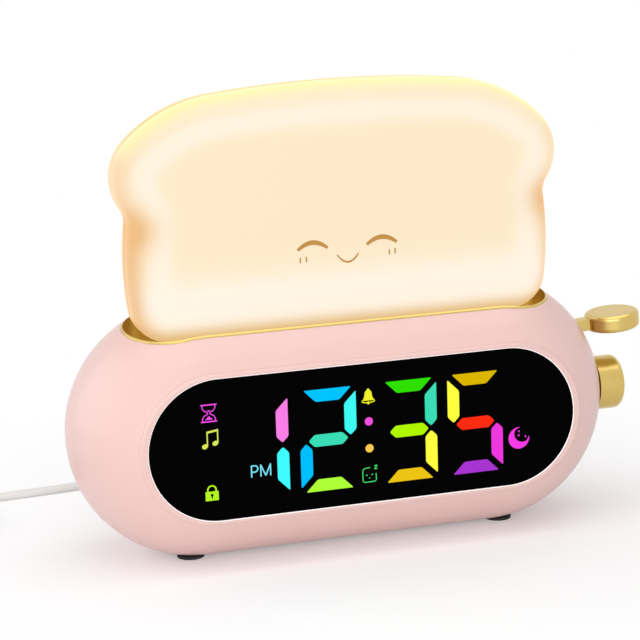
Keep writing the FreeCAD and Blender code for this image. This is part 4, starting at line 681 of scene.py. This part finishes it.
def stadium_path(half, straight=40, turn=60):
    """Middles and outward directions round a stadium: a right half circle, the rear straight, a left half
    circle and the front straight."""
    a = np.linspace(-math.pi / 2, math.pi / 2, turn, endpoint=False)
    arc = np.stack([np.cos(a), np.sin(a)], -1)
    run = np.linspace(half, -half, straight, endpoint=False)
    middles = np.concatenate([np.full(turn, half), run, np.full(turn, -half), -run])
    rear, front = np.tile([0.0, 1.0], (straight, 1)), np.tile([0.0, -1.0], (straight, 1))
    return middles, np.concatenate([arc, rear, -arc, front])


def round_faces(rows, columns):
    """Quads of a grid of points that closes both along its rows and across them."""
    r, c = np.meshgrid(np.arange(rows), np.arange(columns), indexing="ij")
    up, on = (r + 1) % rows, (c + 1) % columns
    quads = np.stack([r * columns + c, up * columns + c, up * columns + on, r * columns + on], -1)
    return quads.reshape(-1, 4)


def capped_faces(rows, columns):
    """Quads of a grid closed along its rows, with one face over its first row and one over its last."""
    first, last = list(range(columns)), list(range((rows - 1) * columns, rows * columns))
    return grid_faces(rows, columns).tolist() + [first[::-1], last]


WINDOW_HALF = 50.0


def window_bead(spread, depth, radius, around=12):
    """A round bead along the window's stadium: the path's point moved out by the spread and a circle."""
    middles, outward = stadium_path(WINDOW_HALF)
    a = np.linspace(0, 2 * math.pi, around, endpoint=False)[:, None]
    reach = spread + radius * np.cos(a)
    points = place_mm(middles + reach * outward[:, 0], depth + radius * np.sin(a), reach * outward[:, 1])
    faces = round_faces(around, len(middles))
    face_outwards(make_piece("window_bead", points, faces, "housing", bead))


window_bead(spread=24.08, depth=0.43, radius=0.42)

# Slot tray and the housing's edge beside it

SLOT_HALF, SLOT_RADIUS, SLOT_MIDDLE = 56.5, 18.5, 27.5
ARCH_RADIUS, ARCH_LEVEL, ARCH_MIDDLE, END_X = 34.0, 9.0, 31.0, 51.0


def arch_height(x, y):
    """The level of the housing's arched top. A circle gives the height over the depth, and past the straight
    part that height is the radius of a turn about the end's own axis."""
    radius = ARCH_LEVEL + np.sqrt(ARCH_RADIUS**2 - (y - ARCH_MIDDLE) ** 2)
    beyond = np.maximum(np.abs(x) - END_X, 0)
    return np.sqrt(radius**2 - beyond**2)


def slot_ring(profile):
    """Rows round the slot's stadium. Each row has an offset from the slot's edge and a rise over the arched
    top, or a fixed level where the third value is true."""
    middles, outward = stadium_path(SLOT_HALF)
    rows = []
    for offset, rise, fixed in profile:
        x = middles + (SLOT_RADIUS + offset) * outward[:, 0]
        y = SLOT_MIDDLE + (SLOT_RADIUS + offset) * outward[:, 1]
        rows.append(place_mm(x, y, rise if fixed else arch_height(x, y) + rise))
    return np.array(rows)


TRAY = [
    (-1.15, 30.0, True),
    (-1.15, 0.17, False),
    (-1.08, 0.24, False),
    (-0.66, 0.24, False),
    (-0.55, 0.14, False),
    (-0.55, -1.5, False),
    (-0.55, 28.8, True),
]
points = slot_ring(TRAY)
tray = make_piece("slot_tray", points, capped_faces(*points.shape[:2]), "housing", gold, smooth=False)
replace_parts(face_outwards(tray), "slot_liner")
EDGE = [(-0.52, -1.2), (-0.52, -0.04), (-0.46, 0.02), (0.0, 0.03), (0.3, 0.02), (0.8, -0.08), (0.8, -1.2)]
points = slot_ring([(offset, rise, False) for offset, rise in EDGE])
edge = make_piece("slot_edge", points, round_faces(*points.shape[:2]), "housing", pink)
face_outwards(edge)

# Knob

# The rear rim's reach, width and corner, and the small hole that each cap closes at the axis
RIM_REACH, RIM_WIDTH, RIM_CORNER, POLE = 0.52, 0.3, 0.1, 0.4


def turned_knob(start, end, radius, rounding, hollow, hollow_end, columns=96):
    """A profile of lengths and radii turned about the knob's axis: up the hollow's wall, out to a thin rear
    rim that stands back towards the housing, along the side, round the outer edge by a quarter circle and in
    across the face."""
    a = np.radians(np.linspace(0, 90, 12))
    corner = np.stack([end - rounding + rounding * np.sin(a), radius - rounding + rounding * np.cos(a)], -1)
    rear = [(hollow_end, POLE), (hollow_end, hollow), (start, hollow), (start, radius - RIM_WIDTH)]
    rim = start - RIM_REACH
    rear += [(rim, radius - RIM_WIDTH), (rim, radius - RIM_CORNER), (rim + RIM_CORNER, radius)]
    profile = np.concatenate([rear, corner, [[end, POLE]]])
    a = np.linspace(0, 2 * math.pi, columns, endpoint=False)
    along, reach = profile[:, :1], profile[:, 1:]
    points = place_mm(along + 0 * a, ARCH_MIDDLE + reach * np.cos(a), reach * np.sin(a))
    made = make_piece("turned_knob", points, capped_faces(len(profile), columns), "knob", gold)
    made.data.set_sharp_from_angle(angle=math.radians(40))
    return face_outwards(made)


knob = turned_knob(start=94.1, end=103.3, radius=9.4, rounding=2.2, hollow=6.6, hollow_end=97.3)
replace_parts(knob, "knob")

# Supply cord

CORD = 1.5
COIL_X, COIL_Y, COIL_RADIUS, COIL_STEP, COIL_RISE = -144.5, 84.3, 22.6, 1.75, 3.5
COIL_HALVES, TURN_POINTS, SPLINE_SHARE = 8, 8, 1.0196
route = [(-30.75, 58.1, 24.6), (-30.75, 81.4, 24.6), (-45, 95.5, CORD), (-69, 88.5, CORD), (-105.5, 84.3, CORD)]
route += [(-141.5, COIL_Y, CORD), (COIL_X, COIL_Y, CORD)]


def coil_points():
    """Control points of half turns that tighten, climb and widen again, each half turn a part of a circle.
    A quadratic spline runs inside its control points, so these stand out by the same share."""
    outer, share = COIL_RADIUS, SPLINE_SHARE
    radii = [outer - COIL_STEP * k for k in range(COIL_HALVES)]
    turns = [(r, 0.0) for r in radii] + [(radii[-1] - COIL_STEP, COIL_RISE)] + [(r, 0.0) for r in radii[:0:-1]]
    x, y, z, sign, made = COIL_X, COIL_Y, CORD, -1, []
    for radius, rise in turns:
        t = (np.arange(TURN_POINTS) + 0.5) / TURN_POINTS
        a = math.pi * t
        ring = np.stack(
            [
                x + sign * radius * share * np.sin(a),
                y + sign * radius - sign * radius * share * np.cos(a),
                z + rise * (1 - np.cos(a)) / 2,
            ],
            -1,
        )
        made.append(ring)
        y, z, sign = y + 2 * radius * sign, z + rise, -sign
    a = math.pi * (np.arange(TURN_POINTS // 2) + 0.5) / TURN_POINTS
    quarter = [x - outer * share * np.sin(a), y - outer + outer * share * np.cos(a), np.full(len(a), z)]
    made.append(np.stack(quarter, -1))
    end = [(x - outer, y - outer, z), (x - outer, y - outer - 11, z), (x - outer, y - outer - 22, z)]
    made.append(np.array(end))
    return np.concatenate(made)


line = np.concatenate([np.array(route), coil_points()]) * MM
curve = bpy.data.curves.new("supply_cord", "CURVE")
curve.dimensions = "3D"
spline = curve.splines.new("NURBS")
spline.points.add(len(line) - 1)
spline.points.foreach_set("co", np.concatenate([line, np.ones((len(line), 1))], 1).astype(np.float32).ravel())
spline.order_u = 3
spline.use_endpoint_u = True
spline.resolution_u = 6
curve.resolution_u = 6
curve.render_resolution_u = 6
curve.bevel_depth = CORD * MM
curve.bevel_resolution = 5
curve.use_fill_caps = True
curve.materials.append(cable)
cord = bpy.data.objects.new("supply_cord", curve)
bpy.context.scene.collection.objects.link(cord)
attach(cord, "housing")
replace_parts(cord, "cord_tube", "cord_coil")

# Floor, world, lights and camera

# The white added near the clock, the distances in metres over which it turns to plain white, and the
# world's share of the light
FLOOR_GLOW, FADE_START, FADE_END, WORLD_LIGHT = 0.24, 0.09, 0.22, 0.4


def white_floor():
    """A matt white floor that keeps the shadow near the clock. Camera and mirror rays get a little white
    added there, and plain white further away."""
    made = bpy.data.materials.new("pale_floor")
    made.use_nodes = True
    tree = made.node_tree
    tree.nodes.remove(tree.nodes["Principled BSDF"])
    out = tree.nodes["Material Output"]
    matt = node(tree, "ShaderNodeBsdfDiffuse", Color=(0.86, 0.86, 0.87, 1))
    glow = node(tree, "ShaderNodeEmission", Color=(1, 1, 1, 1))
    rays = node(tree, "ShaderNodeLightPath")
    seen = node(tree, "ShaderNodeMath", operation="MAXIMUM")
    tree.links.new(rays.outputs["Is Camera Ray"], seen.inputs[0])
    tree.links.new(rays.outputs["Is Glossy Ray"], seen.inputs[1])
    level = node(tree, "ShaderNodeMath", operation="MULTIPLY")
    tree.links.new(seen.outputs[0], level.inputs[0])
    level.inputs[1].default_value = FLOOR_GLOW
    tree.links.new(level.outputs[0], glow.inputs["Strength"])
    both = node(tree, "ShaderNodeAddShader")
    tree.links.new(matt.outputs[0], both.inputs[0])
    tree.links.new(glow.outputs[0], both.inputs[1])
    spot = node(tree, "ShaderNodeTexCoord")
    reach = node(tree, "ShaderNodeVectorMath", operation="LENGTH")
    tree.links.new(spot.outputs["Object"], reach.inputs[0])
    fade = node(tree, "ShaderNodeMapRange", interpolation_type="SMOOTHSTEP")
    tree.links.new(reach.outputs["Value"], fade.inputs["Value"])
    fade.inputs["From Min"].default_value = FADE_START
    fade.inputs["From Max"].default_value = FADE_END
    share = node(tree, "ShaderNodeMath", operation="MULTIPLY")
    tree.links.new(fade.outputs[0], share.inputs[0])
    tree.links.new(seen.outputs[0], share.inputs[1])
    paper = node(tree, "ShaderNodeEmission", Color=(1, 1, 1, 1), Strength=1.0)
    final = node(tree, "ShaderNodeMixShader")
    tree.links.new(share.outputs[0], final.inputs["Fac"])
    tree.links.new(both.outputs[0], final.inputs[1])
    tree.links.new(paper.outputs[0], final.inputs[2])
    tree.links.new(final.outputs[0], out.inputs["Surface"])
    return made


floor_mesh = bpy.data.meshes.new("floor")
floor_mesh.from_pydata([(-6, -6, 0), (6, -6, 0), (6, 6, 0), (-6, 6, 0)], [], [(0, 1, 2, 3)])
floor_mesh.materials.append(white_floor())
floor = bpy.data.objects.new("floor", floor_mesh)
bpy.context.scene.collection.objects.link(floor)

world = bpy.data.worlds.new("studio")
bpy.context.scene.world = world
world.use_nodes = True
tree = world.node_tree
back = tree.nodes["Background"]
rays = node(tree, "ShaderNodeLightPath")
seen = node(tree, "ShaderNodeMath", operation="MAXIMUM")
tree.links.new(rays.outputs["Is Camera Ray"], seen.inputs[0])
tree.links.new(rays.outputs["Is Transmission Ray"], seen.inputs[1])
mirrored = node(tree, "ShaderNodeMath", operation="MAXIMUM")
tree.links.new(seen.outputs[0], mirrored.inputs[0])
tree.links.new(rays.outputs["Is Glossy Ray"], mirrored.inputs[1])
level = node(tree, "ShaderNodeMapRange")
tree.links.new(mirrored.outputs[0], level.inputs["Value"])
level.inputs["To Min"].default_value = WORLD_LIGHT
level.inputs["To Max"].default_value = 1.0
tree.links.new(level.outputs[0], back.inputs["Strength"])
back.inputs["Color"].default_value = (1, 1, 1, 1)


def soft_light(name, place, towards, size, power):
    """A square soft box aimed at a point."""
    lamp = bpy.data.lights.new(name, "AREA")
    lamp.shape = "RECTANGLE"
    lamp.size, lamp.size_y = size
    lamp.energy = power
    made = bpy.data.objects.new(name, lamp)
    made.location = place
    made.rotation_euler = (Vector(towards) - Vector(place)).to_track_quat("-Z", "Y").to_euler()
    bpy.context.scene.collection.objects.link(made)


soft_light("left_panel", place=(-0.9, 0.35, 0.5), towards=(0.0, 0.35, 0.5), size=(1.3, 1.0), power=3.9)
soft_light("front_box", place=(-0.3, -1.0, 0.2), towards=(0, 0, 0.04), size=(0.9, 0.4), power=4.7)
soft_light("top_box", place=(0.05, -0.1, 0.95), towards=(0, 0, 0.05), size=(1.2, 0.8), power=3.6)

# The camera as measured from the photograph: angles, aim in millimetres from the datum, distance in metres
# and focal length in pixels
CAMERA_AIM, CAMERA_DISTANCE, FOCAL_PIXELS = (-14.88, 0.0, 39.86), 0.792, 2444.5
PICTURE_PIXELS, SENSOR = 640, 36.0
AZIMUTH, ELEVATION, ROLL = map(math.radians, (-17.2, 12.8, -1.8))
away = Vector(
    (
        math.sin(AZIMUTH) * math.cos(ELEVATION),
        -math.cos(AZIMUTH) * math.cos(ELEVATION),
        math.sin(ELEVATION),
    )
)
level_right = Vector((math.cos(AZIMUTH), math.sin(AZIMUTH), 0))
level_up = away.cross(level_right)
right = level_right * math.cos(ROLL) + level_up * math.sin(ROLL)
up = level_up * math.cos(ROLL) - level_right * math.sin(ROLL)
target = Vector((CAMERA_AIM + DATUM) * MM)
position = target + away * CAMERA_DISTANCE
camera_data = bpy.data.cameras.new("camera")
camera_data.sensor_width = SENSOR
camera_data.lens = SENSOR * FOCAL_PIXELS / PICTURE_PIXELS
camera_data.clip_start, camera_data.clip_end = 0.05, 20.0
camera = bpy.data.objects.new("camera", camera_data)
camera.matrix_world = Matrix(
    (
        (right.x, up.x, away.x, position.x),
        (right.y, up.y, away.y, position.y),
        (right.z, up.z, away.z, position.z),
        (0, 0, 0, 1),
    )
)
bpy.context.scene.collection.objects.link(camera)
bpy.context.scene.camera = camera
bpy.context.scene.view_settings.view_transform = "Standard"


def plain(box):
    """A box's corners as plain lists of numbers."""
    return [[float(v) for v in corner] for corner in box]
